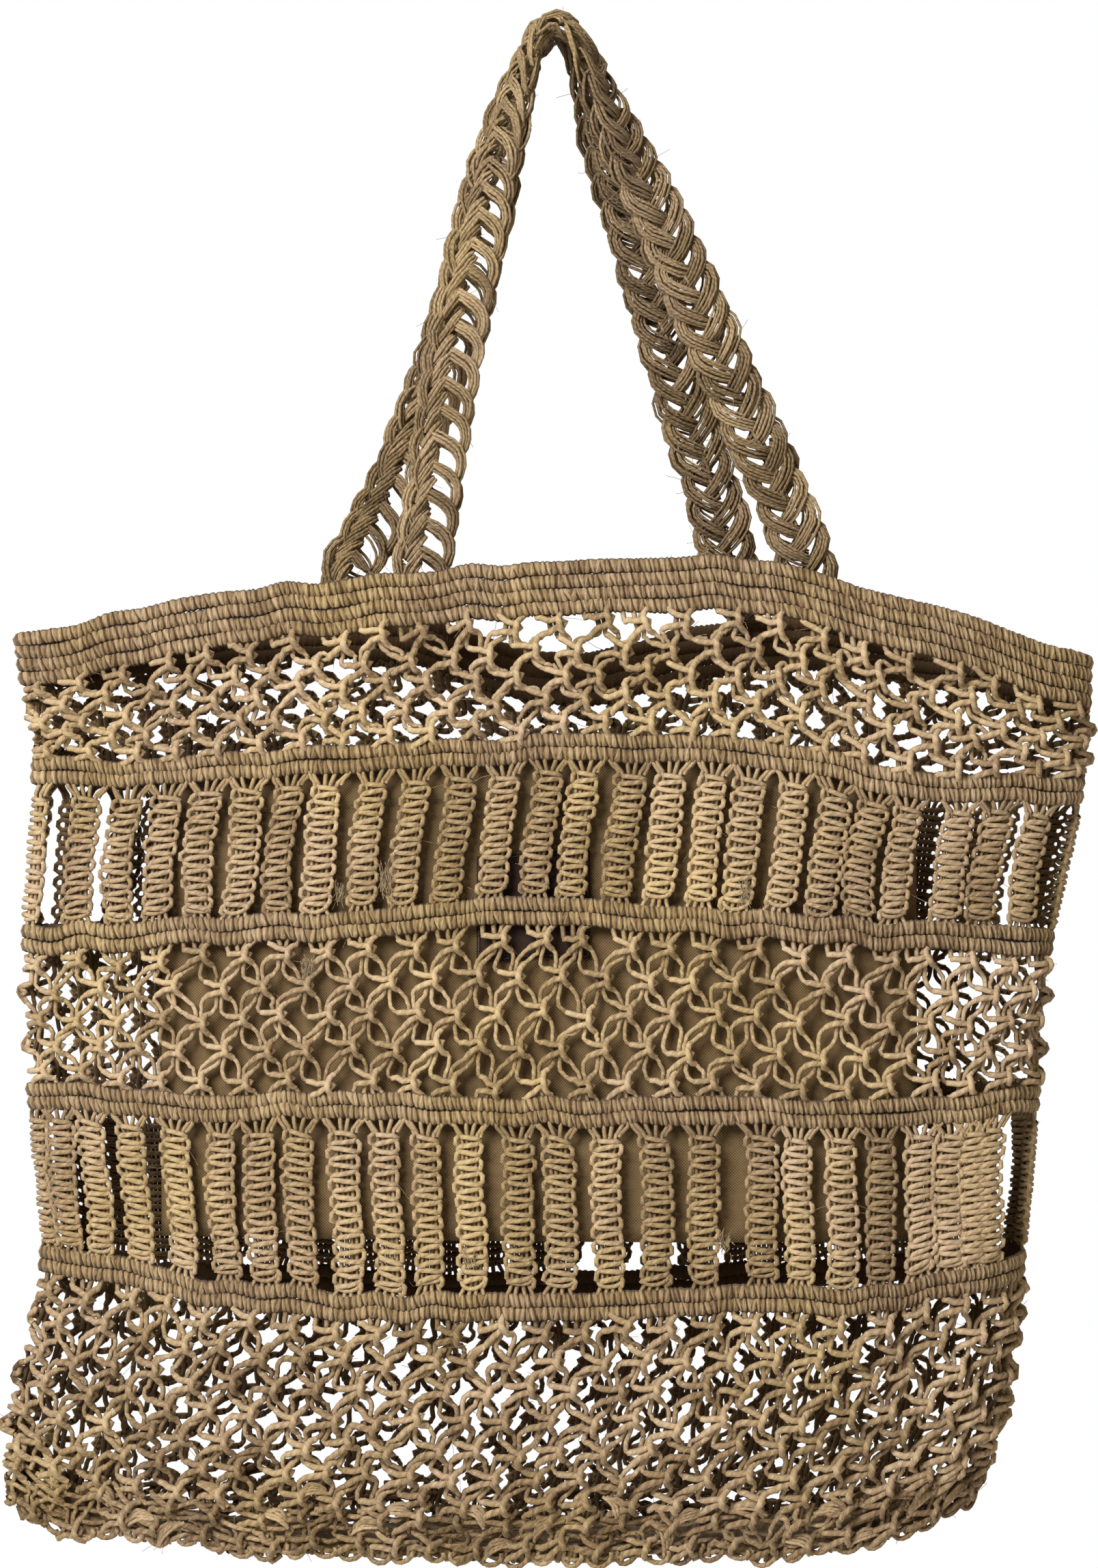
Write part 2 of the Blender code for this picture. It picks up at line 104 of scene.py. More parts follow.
# the small waves of each section's line, a little over a centimetre long
WAVES = 72
SECTION_WAVES = np.random.default_rng(31).normal(0, 0.0008, (BASE + 1, WAVES))
LEVEL_STEPS = 20
ROUND_STEPS = 400


def through(rows, place, closed=False):
    """Smooth curve through rows of values, at places counted in rows."""
    rows = np.asarray(rows, float)
    count = len(rows)
    if not closed:
        place = np.clip(place, 0, count - 1)
    step = np.floor(place).astype(int)
    part = place - step
    if rows.ndim > 1:
        part = np.expand_dims(part, -1)
    near = [step + shift for shift in (-1, 0, 1, 2)]
    near = [index % count if closed else np.clip(index, 0, count - 1) for index in near]
    a, b, c, d = (rows[index] for index in near)
    return b + 0.5 * part * (c - a + part * (2 * a - 5 * b + 4 * c - d + part * (3 * (b - c) + d - a)))


def height_at(level, around):
    """Height of the wall at a level between sections and a share of the way round."""
    station = around % 1.0 * 12
    low = np.clip(np.floor(level), 0, BASE - 1).astype(int)
    drops = [through(row, station, closed=True) + through(waves, around % 1.0 * WAVES, closed=True)
             for row, waves in zip(SECTION_DROPS, SECTION_WAVES)]
    drops = np.stack(np.broadcast_arrays(*drops))
    upper = np.take_along_axis(drops, low[None], 0)[0]
    lower = np.take_along_axis(drops, low[None] + 1, 0)[0]
    from_end = np.abs((around + 0.5) % 1.0 - 0.5)
    fullness = np.exp(-((from_end - LEFT_CORNER_AT) / LEFT_CORNER_WIDTH) ** 2)
    corner = LEFT_CORNER_DROP * fullness * np.clip(level - BULGE, 0, 1)
    return -HANDLE_DROP - upper - (lower - upper) * (level - low) - corner


def wall_table():
    """The wall's plan at close steps of level and way round, its outward direction and its girth."""
    share = 0.5 - 0.5 * np.cos(np.linspace(0, math.pi, 161))
    crest = LEFT_PINCH / (LEFT_PINCH + RIGHT_BLUNT)
    lens = (share / crest) ** LEFT_PINCH * ((1 - share) / (1 - crest)) ** RIGHT_BLUNT
    around = np.arange(ROUND_STEPS) / ROUND_STEPS
    levels = np.arange(BASE * LEVEL_STEPS + 1) / LEVEL_STEPS
    plan = np.zeros((len(levels), ROUND_STEPS, 2))
    girths = np.zeros(len(levels))
    for index, level in enumerate(levels):
        left, right, depth = through(SECTION_ENDS, np.array(level))
        x = left + (right - left) * share
        y = -depth / 2 * lens
        length = np.concatenate(([0.0], np.cumsum(np.hypot(np.diff(x), np.diff(y)))))
        wanted = length[-1] * np.where(around <= 0.5, 2 * around, 2 - 2 * around)
        plan[index, :, 0] = np.interp(wanted, length, x)
        plan[index, :, 1] = np.interp(wanted, length, y) * np.where(around <= 0.5, 1, -1)
        girths[index] = 2 * length[-1]
    along = np.roll(plan, -2, axis=1) - np.roll(plan, 2, axis=1)
    along /= np.linalg.norm(along, axis=2, keepdims=True)
    outward = np.stack((along[..., 1], -along[..., 0]), axis=2)
    for place, width, dent, start, end in FOLDS:
        off = (around - place + 0.5) % 1.0 - 0.5
        run = np.clip(1 - ((levels - (start + end) / 2) / ((end - start) / 2)) ** 2, 0, None)
        plan -= outward * (dent * BAG_DEPTH * run[:, None] * np.exp(-(off / width) ** 2))[..., None]
    return plan, outward, girths


PLAN, OUTWARD, GIRTHS = wall_table()


def wall(level, around, out):
    """Points of the bag's wall, a distance out of its middle."""
    level, around, out = np.broadcast_arrays(*(np.asarray(v, float) for v in (level, around, out)))
    row = np.clip(level * LEVEL_STEPS, 0, len(PLAN) - 1.001)
    low = np.floor(row).astype(int)
    down = (row - low)[..., None]
    column = around % 1.0 * ROUND_STEPS
    first = np.floor(column).astype(int) % ROUND_STEPS
    after = (first + 1) % ROUND_STEPS
    along = (column - np.floor(column))[..., None]
    places = []
    for grid in (PLAN, OUTWARD):
        upper = grid[low, first] * (1 - along) + grid[low, after] * along
        lower = grid[low + 1, first] * (1 - along) + grid[low + 1, after] * along
        places.append(upper * (1 - down) + lower * down)
    flat = places[0] + places[1] * out[..., None]
    return np.concatenate((flat, height_at(level, around)[..., None]), axis=-1)


def below(section, around, distance):
    """Level that lies a distance under a section's line, or above it if the distance is negative."""
    around, distance = np.broadcast_arrays(np.asarray(around, float), np.asarray(distance, float))
    toward = section + np.where(distance >= 0, 1, -1)
    toward = np.where((toward < 0) | (toward > BASE), 2 * section - toward, toward)
    here = np.full(around.shape, float(section))
    span = height_at(here, around) - height_at(toward.astype(float), around)
    return here + (toward - here) * distance / span


# painted shade: how much darker the sides of strands below the rim that face into the bag are
INSIDE_SHADE = 0.62
RIM_UNDERSIDE = -HANDLE_DROP - 0.018


def quad_layout(start, end, low, high):
    """Where each quad's four corners lie on the finish."""
    corners = ((start, low), (end, low), (end, high), (start, high))
    return np.stack([np.stack(corner, axis=-1) for corner in corners], axis=-2)


def tubes(paths, radius, sides, tone, joined=False):
    """Round strands along many paths of equally many points; tone is each strand's own lightness,
    and below the rim the side that faces into the bag is darkened with painted shade."""
    paths = np.asarray(paths, float)
    count, points, _ = paths.shape
    if joined:
        run = np.roll(paths, -1, axis=1) - np.roll(paths, 1, axis=1)
    else:
        run = np.gradient(paths, axis=1)
    run /= np.linalg.norm(run, axis=2, keepdims=True) + 1e-12
    start = np.where(np.abs(run[:, 0, 1:2]) < 0.8, (0.0, 1.0, 0.0), (1.0, 0.0, 0.0))
    side = np.zeros_like(paths)
    for index in range(points):
        start = start - run[:, index] * np.sum(start * run[:, index], axis=1, keepdims=True)
        start = start / (np.linalg.norm(start, axis=1, keepdims=True) + 1e-12)
        side[:, index] = start
    over = np.cross(run, side)
    radius = np.broadcast_to(np.asarray(radius, float), (count, points))[..., None, None]
    angle = 2 * math.pi * np.arange(sides) / sides
    ring = np.cos(angle)[:, None] * side[:, :, None] + np.sin(angle)[:, None] * over[:, :, None]
    corners = paths[:, :, None] + radius * ring
    index = np.arange(count * points * sides).reshape(count, points, sides)
    if joined:
        ahead = np.roll(index, -1, axis=1)
    else:
        ahead = index[:, 1:]
        index = index[:, :-1]
    quads = np.stack((index, ahead, np.roll(ahead, -1, axis=2), np.roll(index, -1, axis=2)), axis=-1)
    pieces = np.linalg.norm(np.diff(paths, axis=1), axis=2)
    length = np.concatenate((np.zeros((count, 1)), np.cumsum(pieces, axis=1)), axis=1)
    rows = quads.shape[1]
    here = length[:, :rows, None] + np.zeros(sides)
    there = length[:, (np.arange(rows) + 1) % points, None] + np.zeros(sides)
    low = np.arange(sides) / sides + np.zeros_like(here)
    # painted shade on the inward sides of strands below the rim
    below_rim = (paths[..., 2] < RIM_UNDERSIDE)[..., None]
    inward = np.clip(-np.sign(paths[..., 1])[..., None] * ring[..., 1], 0, 1) * below_rim
    tone = np.broadcast_to(np.asarray(tone, float), (count,))[:, None, None] - INSIDE_SHADE * inward
    return {
        "corners": corners.reshape(-1, 3),
        "quads": quads.reshape(-1, 4),
        "layout": quad_layout(here, there, low, low + 1 / sides).reshape(-1, 2) * (100.0, 1.0),
        "tone": tone.ravel(),
    }


HAIR_RADIUS = 0.00009


def loose_fibres(parts, count, order):
    """Fine hairs that stand off the strands here and there."""
    pick = np.random.default_rng(order)
    corners = np.concatenate([part["corners"] for part in parts])
    start = corners[pick.integers(0, len(corners), count)]
    way = pick.standard_normal((count, 3))
    way /= np.linalg.norm(way, axis=1, keepdims=True)
    curl = pick.standard_normal((count, 3)) * 0.4
    length = pick.uniform(0.003, 0.009, (count, 1))
    path = np.stack([start + length * (way * share + curl * share ** 2) for share in (0.0, 0.5, 1.0)], axis=1)
    return [tubes(path, HAIR_RADIUS, 3, pick.uniform(0.2, 0.6, count))]


def make_piece(name, parts, material, node, fibres=0, order=0):
    """One mesh from many parts, riding on the bag and standing for one of its plain solids."""
    if fibres:
        parts = parts + loose_fibres(parts, fibres, order)

    def joined(key):
        return np.concatenate([part[key] for part in parts]).astype(np.float32)

    starts = np.cumsum([0] + [len(part["corners"]) for part in parts])
    quads = np.concatenate([part["quads"] + start for part, start in zip(parts, starts)])
    mesh = bpy.data.meshes.new(name)
    mesh.vertices.add(starts[-1])
    mesh.vertices.foreach_set("co", joined("corners").ravel())
    mesh.loops.add(quads.size)
    mesh.loops.foreach_set("vertex_index", quads.astype(np.int32).ravel())
    mesh.polygons.add(len(quads))
    mesh.polygons.foreach_set("loop_start", np.arange(len(quads), dtype=np.int32) * 4)
    mesh.update(calc_edges=True)
    mesh.polygons.foreach_set("use_smooth", np.ones(len(quads), bool))
    mesh.uv_layers.new(name="lay").data.foreach_set("uv", joined("layout").ravel())
    mesh.attributes.new("tone", "FLOAT", "POINT").data.foreach_set("value", joined("tone"))
    mesh.validate()
    mesh.materials.append(material)
    piece = bpy.data.objects.new(name, mesh)
    scene.collection.objects.link(piece)
    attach(piece, "root")
    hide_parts(node)
    return piece


def node_maker(owner):
    """Short ways to add a node with its settings and inputs, a sum, and a noise."""
    tree = owner.node_tree

    def add(kind, settings=None, **inputs):
        node = tree.nodes.new(kind)
        for key, value in (settings or {}).items():
            setattr(node, key, value)
        for key, value in inputs.items():
            numbered = key[0] == "i" and key[1:].isdigit()
            socket = node.inputs[int(key[1:]) if numbered else key.replace("_", " ")]
            if hasattr(value, "is_output"):
                tree.links.new(value, socket)
            else:
                socket.default_value = value
        return node

    def reckon(operation, *values):
        inputs = {f"i{index}": value for index, value in enumerate(values)}
        return add("ShaderNodeMath", {"operation": operation}, **inputs).outputs[0]

    def noise(place, scale, detail, roughness=0.5, kind="3D"):
        node = add("ShaderNodeTexNoise", {"noise_dimensions": kind},
                   Vector=place, Scale=scale, Detail=detail, Roughness=roughness)
        return node.outputs["Fac"]

    return add, reckon, noise


def jute_finish(name, pale, mid, deep, ply):
    """Matt twisted jute: two plies, fine lengthwise fibres, and shades that wander along the bag."""
    material = bpy.data.materials.new(name)
    material.use_nodes = True
    shader = material.node_tree.nodes["Principled BSDF"]
    add, reckon, noise = node_maker(material)
    lay = add("ShaderNodeUVMap", {"uv_map": "lay"})
    parts = add("ShaderNodeSeparateXYZ", i0=lay.outputs[0])
    along, around = parts.outputs[0], parts.outputs[1]
    turns = reckon("MULTIPLY_ADD", along, ply, around)
    plies = reckon("SINE", reckon("MULTIPLY", turns, 4 * math.pi))
    place = add("ShaderNodeNewGeometry").outputs["Position"]
    lengthwise = add("ShaderNodeCombineXYZ", i0=along, i1=turns).outputs[0]
    drawn = add("ShaderNodeVectorMath", {"operation": "MULTIPLY"}, i0=lengthwise, i1=(0.42, 1.0, 1.0))
    fibres = noise(drawn.outputs[0], 8.0, 3.0, 0.72, "2D")
    flecks = noise(place, 520.0, 2.0, 0.7)
    patches = noise(place, 40.0, 3.0, 0.62)
    # the tone attribute holds each strand's random tone together with painted shade on inward sides, in
    # recesses and on lower parts
    tone = add("ShaderNodeAttribute", {"attribute_name": "tone"}).outputs["Fac"]
    shade = reckon("MULTIPLY_ADD", patches, 0.55, tone)
    # the plies' stripes in the colour are painted shade in the grooves between the plies; the flecks and
    # fibres are the twine's own colour
    for source, share in ((flecks, 0.40), (fibres, 0.95), (plies, 0.06)):
        shade = reckon("MULTIPLY_ADD", source, share, shade)
    ramp = add("ShaderNodeValToRGB", i0=reckon("MULTIPLY", shade, 0.55))
    stops = ramp.color_ramp.elements
    stops[0].position, stops[0].color = 0.34, (*deep, 1)
    stops[1].position, stops[1].color = 0.80, (*pale, 1)
    stops.new(0.57).color = (*mid, 1)
    tint = add("ShaderNodeValToRGB", i0=noise(place, 18.0, 1.0))
    hues = tint.color_ramp.elements
    hues[0].position, hues[0].color = 0.38, (0.96, 0.91, 0.96, 1)
    hues[1].position, hues[1].color = 0.64, (1.0, 0.96, 0.76, 1)
    warm = add("ShaderNodeMix", {"data_type": "RGBA", "blend_type": "MULTIPLY"},
               i0=0.7, i6=ramp.outputs[0], i7=tint.outputs[0])
    material.node_tree.links.new(warm.outputs[2], shader.inputs["Base Color"])
    ridged = reckon("MULTIPLY_ADD", plies, 0.22, fibres)
    bump = add("ShaderNodeBump", Height=ridged, Distance=0.00045, Strength=0.9)
    material.node_tree.links.new(bump.outputs[0], shader.inputs["Normal"])
    shader.inputs["Roughness"].default_value = 0.9
    shader.inputs["Specular IOR Level"].default_value = 0.2
    shader.inputs["Sheen Weight"].default_value = 0.12
    shader.inputs["Sheen Roughness"].default_value = 0.6
    return material


jute = jute_finish("jute_twine", (0.72, 0.555, 0.34), (0.385, 0.272, 0.140), (0.118, 0.066, 0.025), ply=1.45)
chance = np.random.default_rng(41)

HITCH_ROW = 0.0052
HITCH_THICKNESS = 0.0056
COLUMNS = 50
WRAPS = 8 * COLUMNS
HITCH_WANDER = 0.00022
# how far every other hitch leans to the side, and those between
HITCH_LEANS = (0.0007, 0.0002)
# one hitch's outline from its inner middle over the front: outward share and downward share
HITCH_OUTLINE = np.array((
    (-0.60, 0.00), (0.10, -0.60), (0.80, -0.46), (1.04, -0.02), (0.80, 0.44), (0.10, 0.60),
))
# painted shade on each corner: the inner one, and those that meet the next row, where the rows shade each
# other
HITCH_PAINTED_SHADE = np.array((0.95, 0.80, 0.05, -0.05, 0.05, 0.80))


def hitch_row(section, middle):
    """One roll of slanting hitches whose middle hangs a distance under a section's line."""
    ring = np.arange(3 * WRAPS)
    wrap, part = ring // 3, ring % 3
    valley = part == 0
    between_pairs = valley & (wrap % 2 == 0)
    size = (1 + 0.09 * chance.standard_normal(WRAPS))[wrap]
    width = np.repeat(chance.uniform(0.72, 1.28, WRAPS), 3) * np.where(part == 1, 0.44, 0.28)
    place = np.cumsum(width) / np.sum(width)
    puff = np.where(between_pairs, 0.12, np.where(valley, 0.42, 1.0)) * size
    around = place[:, None] + np.zeros(len(HITCH_OUTLINE))
    outward, down = HITCH_OUTLINE.T
    lean = np.where(wrap % 2 == 0, *HITCH_LEANS) + chance.normal(0, 0.0003, WRAPS)[wrap]
    slant = lean[:, None] / GIRTHS[0] * down * 2
    wander = HITCH_WANDER * through(chance.standard_normal(60), place * 60, closed=True)
    drop = middle + wander[:, None] + down * HITCH_ROW * (0.80 + 0.20 * puff[:, None])
    out = outward * HITCH_THICKNESS / 2 * (0.52 + 0.50 * puff[:, None])
    corners = wall(below(section, around, drop), around + slant, out)
    index = np.arange(corners.shape[0] * corners.shape[1]).reshape(corners.shape[:2])
    ahead = np.roll(index, -1, axis=0)
    quads = np.stack((index, np.roll(index, -1, axis=1), np.roll(ahead, -1, axis=1), ahead), axis=-1)
    sides = len(HITCH_OUTLINE)
    first = (part / 3.0 + wrap * 0.37)[:, None] + np.zeros(sides)
    over = np.arange(sides) * 0.11 + np.zeros_like(first)
    layout = quad_layout(over, over + 0.11, first, first + 1 / 3)
    tone = chance.uniform(0.04, 0.34, WRAPS)[wrap]
    # painted shade in the valleys between wraps, deepest between pairs of wraps
    tone = tone - np.where(between_pairs, 0.75, np.where(valley, 0.40, 0.0))
    return {"corners": corners.reshape(-1, 3), "quads": quads.reshape(-1, 4),
            "layout": layout.reshape(-1, 2), "tone": (tone[:, None] - HITCH_PAINTED_SHADE).ravel()}


RIM_ROWS = 4
rim_rows = [hitch_row(RIM, (row + 0.5) * HITCH_ROW) for row in range(RIM_ROWS)]
make_piece("rim_hitches", rim_rows, jute, "rim_band", 90, 42)


# The nets: alternating square knots, fifty to a row, each of four cords. Every knot takes two
# cords from the knot up to its left and two from the one up to its right, and the cords bow
# between the knots into ovals and diamonds. The upper net is tied right under the rim.
PAIR_ROWS = 2
CORD = 0.0021
LINK_POINTS = 7
# a knot's two working cords and its two cores: across, up and out of the wall, in cord diameters
FRONT_CORD = np.array((
    (-2.55, 1.20, 0.1), (-1.75, 0.98, 0.7), (-0.70, 0.66, 1.2), (0.50, 0.56, 1.2), (1.40, 0.46, 0.8),
    (1.98, 0.10, 0.5), (1.45, -0.42, 0.8), (0.40, -0.60, 1.2), (-0.75, -0.82, 1.1), (-1.70, -1.12, 0.7),
    (-2.45, -1.55, 0.1),
))
BACK_CORD = np.array((
    (2.10, 1.85, 0.1), (1.50, 1.40, 0.8), (1.22, 0.80, 1.7), (1.15, 0.00, 2.0), (1.22, -0.80, 1.7),
    (1.52, -1.40, 0.8), (2.10, -1.90, 0.1),
))
# where a knot's cords end above and below it, and which way each runs there, downwards
CORD_ENDS = {
    "upper left": ((-2.55, 1.20), (0.96, 0.28)), "upper right": ((2.10, 1.85), (-0.80, 0.60)),
    "lower left": ((-2.45, -1.55), (-0.87, 0.50)), "lower right": ((2.10, -1.90), (0.76, 0.65)),
}


class Band:
    """A band of the wall between two rows of hitches, for placing knots by distances."""

    def __init__(self, upper, upper_down, lower, lower_down):
        self.upper, self.upper_down = upper, upper_down
        self.lower, self.lower_down = lower, lower_down
        ring = np.arange(COLUMNS) / COLUMNS
        top = height_at(below(upper, ring, upper_down), ring)
        bottom = height_at(below(lower, ring, lower_down), ring)
        self.height = float(np.mean(top - bottom))
        self.girth = float(GIRTHS[(upper + lower) * LEVEL_STEPS // 2])

    def place(self, across, down, out):
        """Points by distances round the bag, down the band and out of the wall."""
        around = across / self.girth
        share = down / self.height
        top = below(self.upper, around, self.upper_down)
        bottom = below(self.lower, around, self.lower_down)
        return wall(top + (bottom - top) * share, around, out)


def bent(start, leave, end, arrive, points, bow):
    """Cords bent smoothly from start to end, leaving and arriving in given directions."""
    share = np.linspace(0, 1, points)[None, :, None]
    reach = np.linalg.norm(end - start, axis=-1, keepdims=True) * bow
    first, last = start + leave * reach, end - arrive * reach
    return ((1 - share) ** 3 * start[:, None] + 3 * share * (1 - share) ** 2 * first[:, None]
            + 3 * share ** 2 * (1 - share) * last[:, None] + share ** 3 * end[:, None])


def knotted_net(band, rows, size, order, ragged=1.0, shade=0.0):
    """All strands of one net: knots, and the cords between them and to the hitches."""
    pick = np.random.default_rng(order)
    pitch = band.girth / COLUMNS
    unit = CORD * size
    parts = []
    knots = []
    for row in range(rows):
        column = np.arange(COLUMNS) + 0.5 * (row % 2) + 0.25
        knots.append({
            "across": (column + ragged * pick.normal(0, 0.05, COLUMNS)) * pitch,
            "down": (row + 0.42 + ragged * pick.normal(0, 0.06, COLUMNS)) / (rows - 0.24) * band.height,
            "tilt": 0.06 + ragged * pick.normal(0, 0.15, COLUMNS),
            "grow": pick.uniform(0.90, 1.12, COLUMNS) * (0.9 + 0.1 * ragged),
            # shade shifts a whole net's tone; the lower net and the base use it as painted shade, darker
            # towards the bottom
            "tone": pick.uniform(0, 0.34, COLUMNS) + shade,
            "push": ragged * pick.normal(0, 0.0003, COLUMNS),
        })

    def spot(knot, points, columns=0, turns=0.0):
        """Points of every knot of a row, turned and grown with it, as across, down and out."""
        keys = ("across", "down", "tilt", "grow", "push")
        across, down, tilt, grow, push = (np.roll(knot[key], -columns)[:, None] for key in keys)
        points = np.atleast_2d(points)
        x, y, out = points[..., 0], points[..., 1], points[..., 2]
        level = (across + turns + (x * np.cos(tilt) - y * np.sin(tilt)) * unit * grow,
                 down - (y * np.cos(tilt) + x * np.sin(tilt)) * unit * grow, out * unit + push)
        return np.stack(np.broadcast_arrays(*level), axis=-1)

    def strand(path, thickness, sides, tone):
        placed = band.place(path[..., 0], path[..., 1], path[..., 2])
        parts.append(tubes(placed, unit / 2 * thickness, sides, tone))

    for row, knot in enumerate(knots):
        for cord in (FRONT_CORD, BACK_CORD):
            loose = pick.normal(0, 0.08 * ragged, (COLUMNS, len(cord), 3))
            loose[:, (0, -1)] = 0
            strand(spot(knot, cord + loose), 1.22, 5, knot["tone"] + pick.uniform(0.05, 0.14, COLUMNS))
        # the cores are painted darker, as shade under the working cords
        for side in (-1, 1):
            strand(spot(knot, [(side * 0.5, 1.1, 0.0), (side * 0.5, -1.1, 0.0)]), 1.0, 4, knot["tone"] - 0.2)
        if row == rows - 1:
            continue
        for way, outer, meeting in ((-1, "lower left", "upper right"), (1, "lower right", "upper left")):
            columns = row % 2 if way > 0 else row % 2 - 1
            turns = np.zeros((COLUMNS, 1))
            if columns:
                turns[-1 if way > 0 else 0] = way * band.girth
            core_in = ((-0.5 * way, 0.9), (0.0, 1.0))
            core_out = ((0.5 * way, -0.9), (0.0, 1.0))
            for leave, arrive in ((CORD_ENDS[outer], core_in), (core_out, CORD_ENDS[meeting])):
                start = spot(knot, (*leave[0], 0.1))[:, 0]
                end = spot(knots[row + 1], (*arrive[0], 0.1), columns, turns)[:, 0]
                bow = 0.42 + 0.05 * ragged * pick.standard_normal((COLUMNS, 1))
                path = bent(start, (*leave[1], 0.0), end, (*arrive[1], 0.0), LINK_POINTS, bow)
                path[:, 2:-2] += ragged * pick.normal(0, 0.00016, (COLUMNS, LINK_POINTS - 4, 3))
                thickness = pick.uniform(0.84, 1.02, COLUMNS)[:, None]
                strand(path, thickness, 5, knot["tone"] + pick.uniform(-0.02, 0.10, COLUMNS))
    for knot, hem, sign in ((knots[0], 0.0, 1), (knots[-1], band.height, -1)):
        for index, (x, y) in enumerate(((-2.45, 1.3), (-0.5, 1.0), (0.5, 1.0), (2.1, 1.85))):
            start = spot(knot, (x, sign * y, 0.1))[:, 0]
            across = knot["across"] + (index - 1.5) * pitch / 4
            end = np.stack((across, np.full(COLUMNS, hem - sign * 0.0012), np.zeros(COLUMNS)), axis=-1)
            strand(np.stack((start, (start + end) / 2, end), axis=1), 0.95, 4, knot["tone"])
    return parts


half_pair = PAIR_ROWS * HITCH_ROW / 2
upper_band = Band(RIM, RIM_ROWS * HITCH_ROW, PAIR_1, -half_pair)
upper_net = knotted_net(upper_band, 5, 1.04, 51, ragged=1.3)
make_piece("upper_net_knots", upper_net, jute, "upper_net", 120, 151)


# Two rows of clove hitches close each band of the wall and hold the next one: the same twine,
# tied over two holding cords that run level round the bag.
for number, section in enumerate((PAIR_1, PAIR_2, PAIR_3, PAIR_4), start=1):
    rows = [hitch_row(section, (row - 0.5) * HITCH_ROW) for row in range(PAIR_ROWS)]
    make_piece(f"hitches_{number}", rows, jute, f"hitch_rows_{number}")


# The upper bars: fifty upright bars round the bag, each tied of square knots over four core cords.
# The cords fan out of the hitches above, and the last knot of each bar rounds off in a loop.
BAR_HALF_WIDTH = 0.0048
BAR_CORES = (-0.0027, -0.0009, 0.0009, 0.0027)
BAR_FAN = 0.0066
BAR_TOP = 0.0040
BAR_FOOT = 0.0030
# how far right of the hang point the front's bars hang, in millimetres, from left to right
UPPER_BARS_AT = (
    -187, -169, -155, -138, -123, -106, -91, -73, -57, -40, -22, -5,
    9, 27, 43, 60, 74, 90, 106, 122, 135, 155, 170, 186,
)
# one crossing of the cord in front and of the one behind: across in half widths, down in steps,
# out in millimetres
FRONT_CROSSING = (
    (-0.62, -0.16, 1.8), (0.0, 0.0, 2.3), (0.62, 0.14, 1.9), (0.93, 0.34, 0.7), (0.93, 0.66, 0.7),
)
BACK_CROSSING = (
    (0.55, 0.0, -1.6), (-0.60, 0.0, -1.5), (-0.92, -0.22, 0.6), (-1.13, 0.16, 1.7),
    (-1.13, 0.84, 1.7), (-0.92, 1.22, 0.6),
)


def front_way(x, row):
    """Way round at which a row of the plan has each x, on the front."""
    half = ROUND_STEPS // 2 + 1
    return np.interp(x, PLAN[row, :half, 0], np.arange(half) / ROUND_STEPS)


def front_level(x, z):
    """Level and way round of the front wall at each x and z."""
    level = np.zeros(np.shape(x))
    rounds = 7
    for _ in range(rounds):
        row = np.clip((level * LEVEL_STEPS).astype(int), 0, len(PLAN) - 1)
        around = np.array([front_way(*place) for place in zip(x.ravel(), row.ravel())])
        around = around.reshape(x.shape)
        drops = np.stack([height_at(np.full(x.shape, float(section)), around) for section in range(BASE + 1)])
        step = np.clip(np.sum(z < drops, axis=0) - 1, 0, BASE - 1)
        upper = np.take_along_axis(drops, step[None], 0)[0]
        lower = np.take_along_axis(drops, step[None] + 1, 0)[0]
        level = np.clip(step + (upper - z) / (upper - lower), 0, BASE)
    return level, around


def bar_places(places_at, level, pick):
    """Way round the bag of each bar: the front's where they hang, the back's evenly."""
    shown = front_way(np.array(places_at) / 1000, int(level * LEVEL_STEPS))
    hidden = np.arange(len(places_at) + 1, COLUMNS + 1) / COLUMNS
    hidden = hidden + pick.normal(0, 0.0022, len(hidden))
    return np.concatenate((shown, hidden))


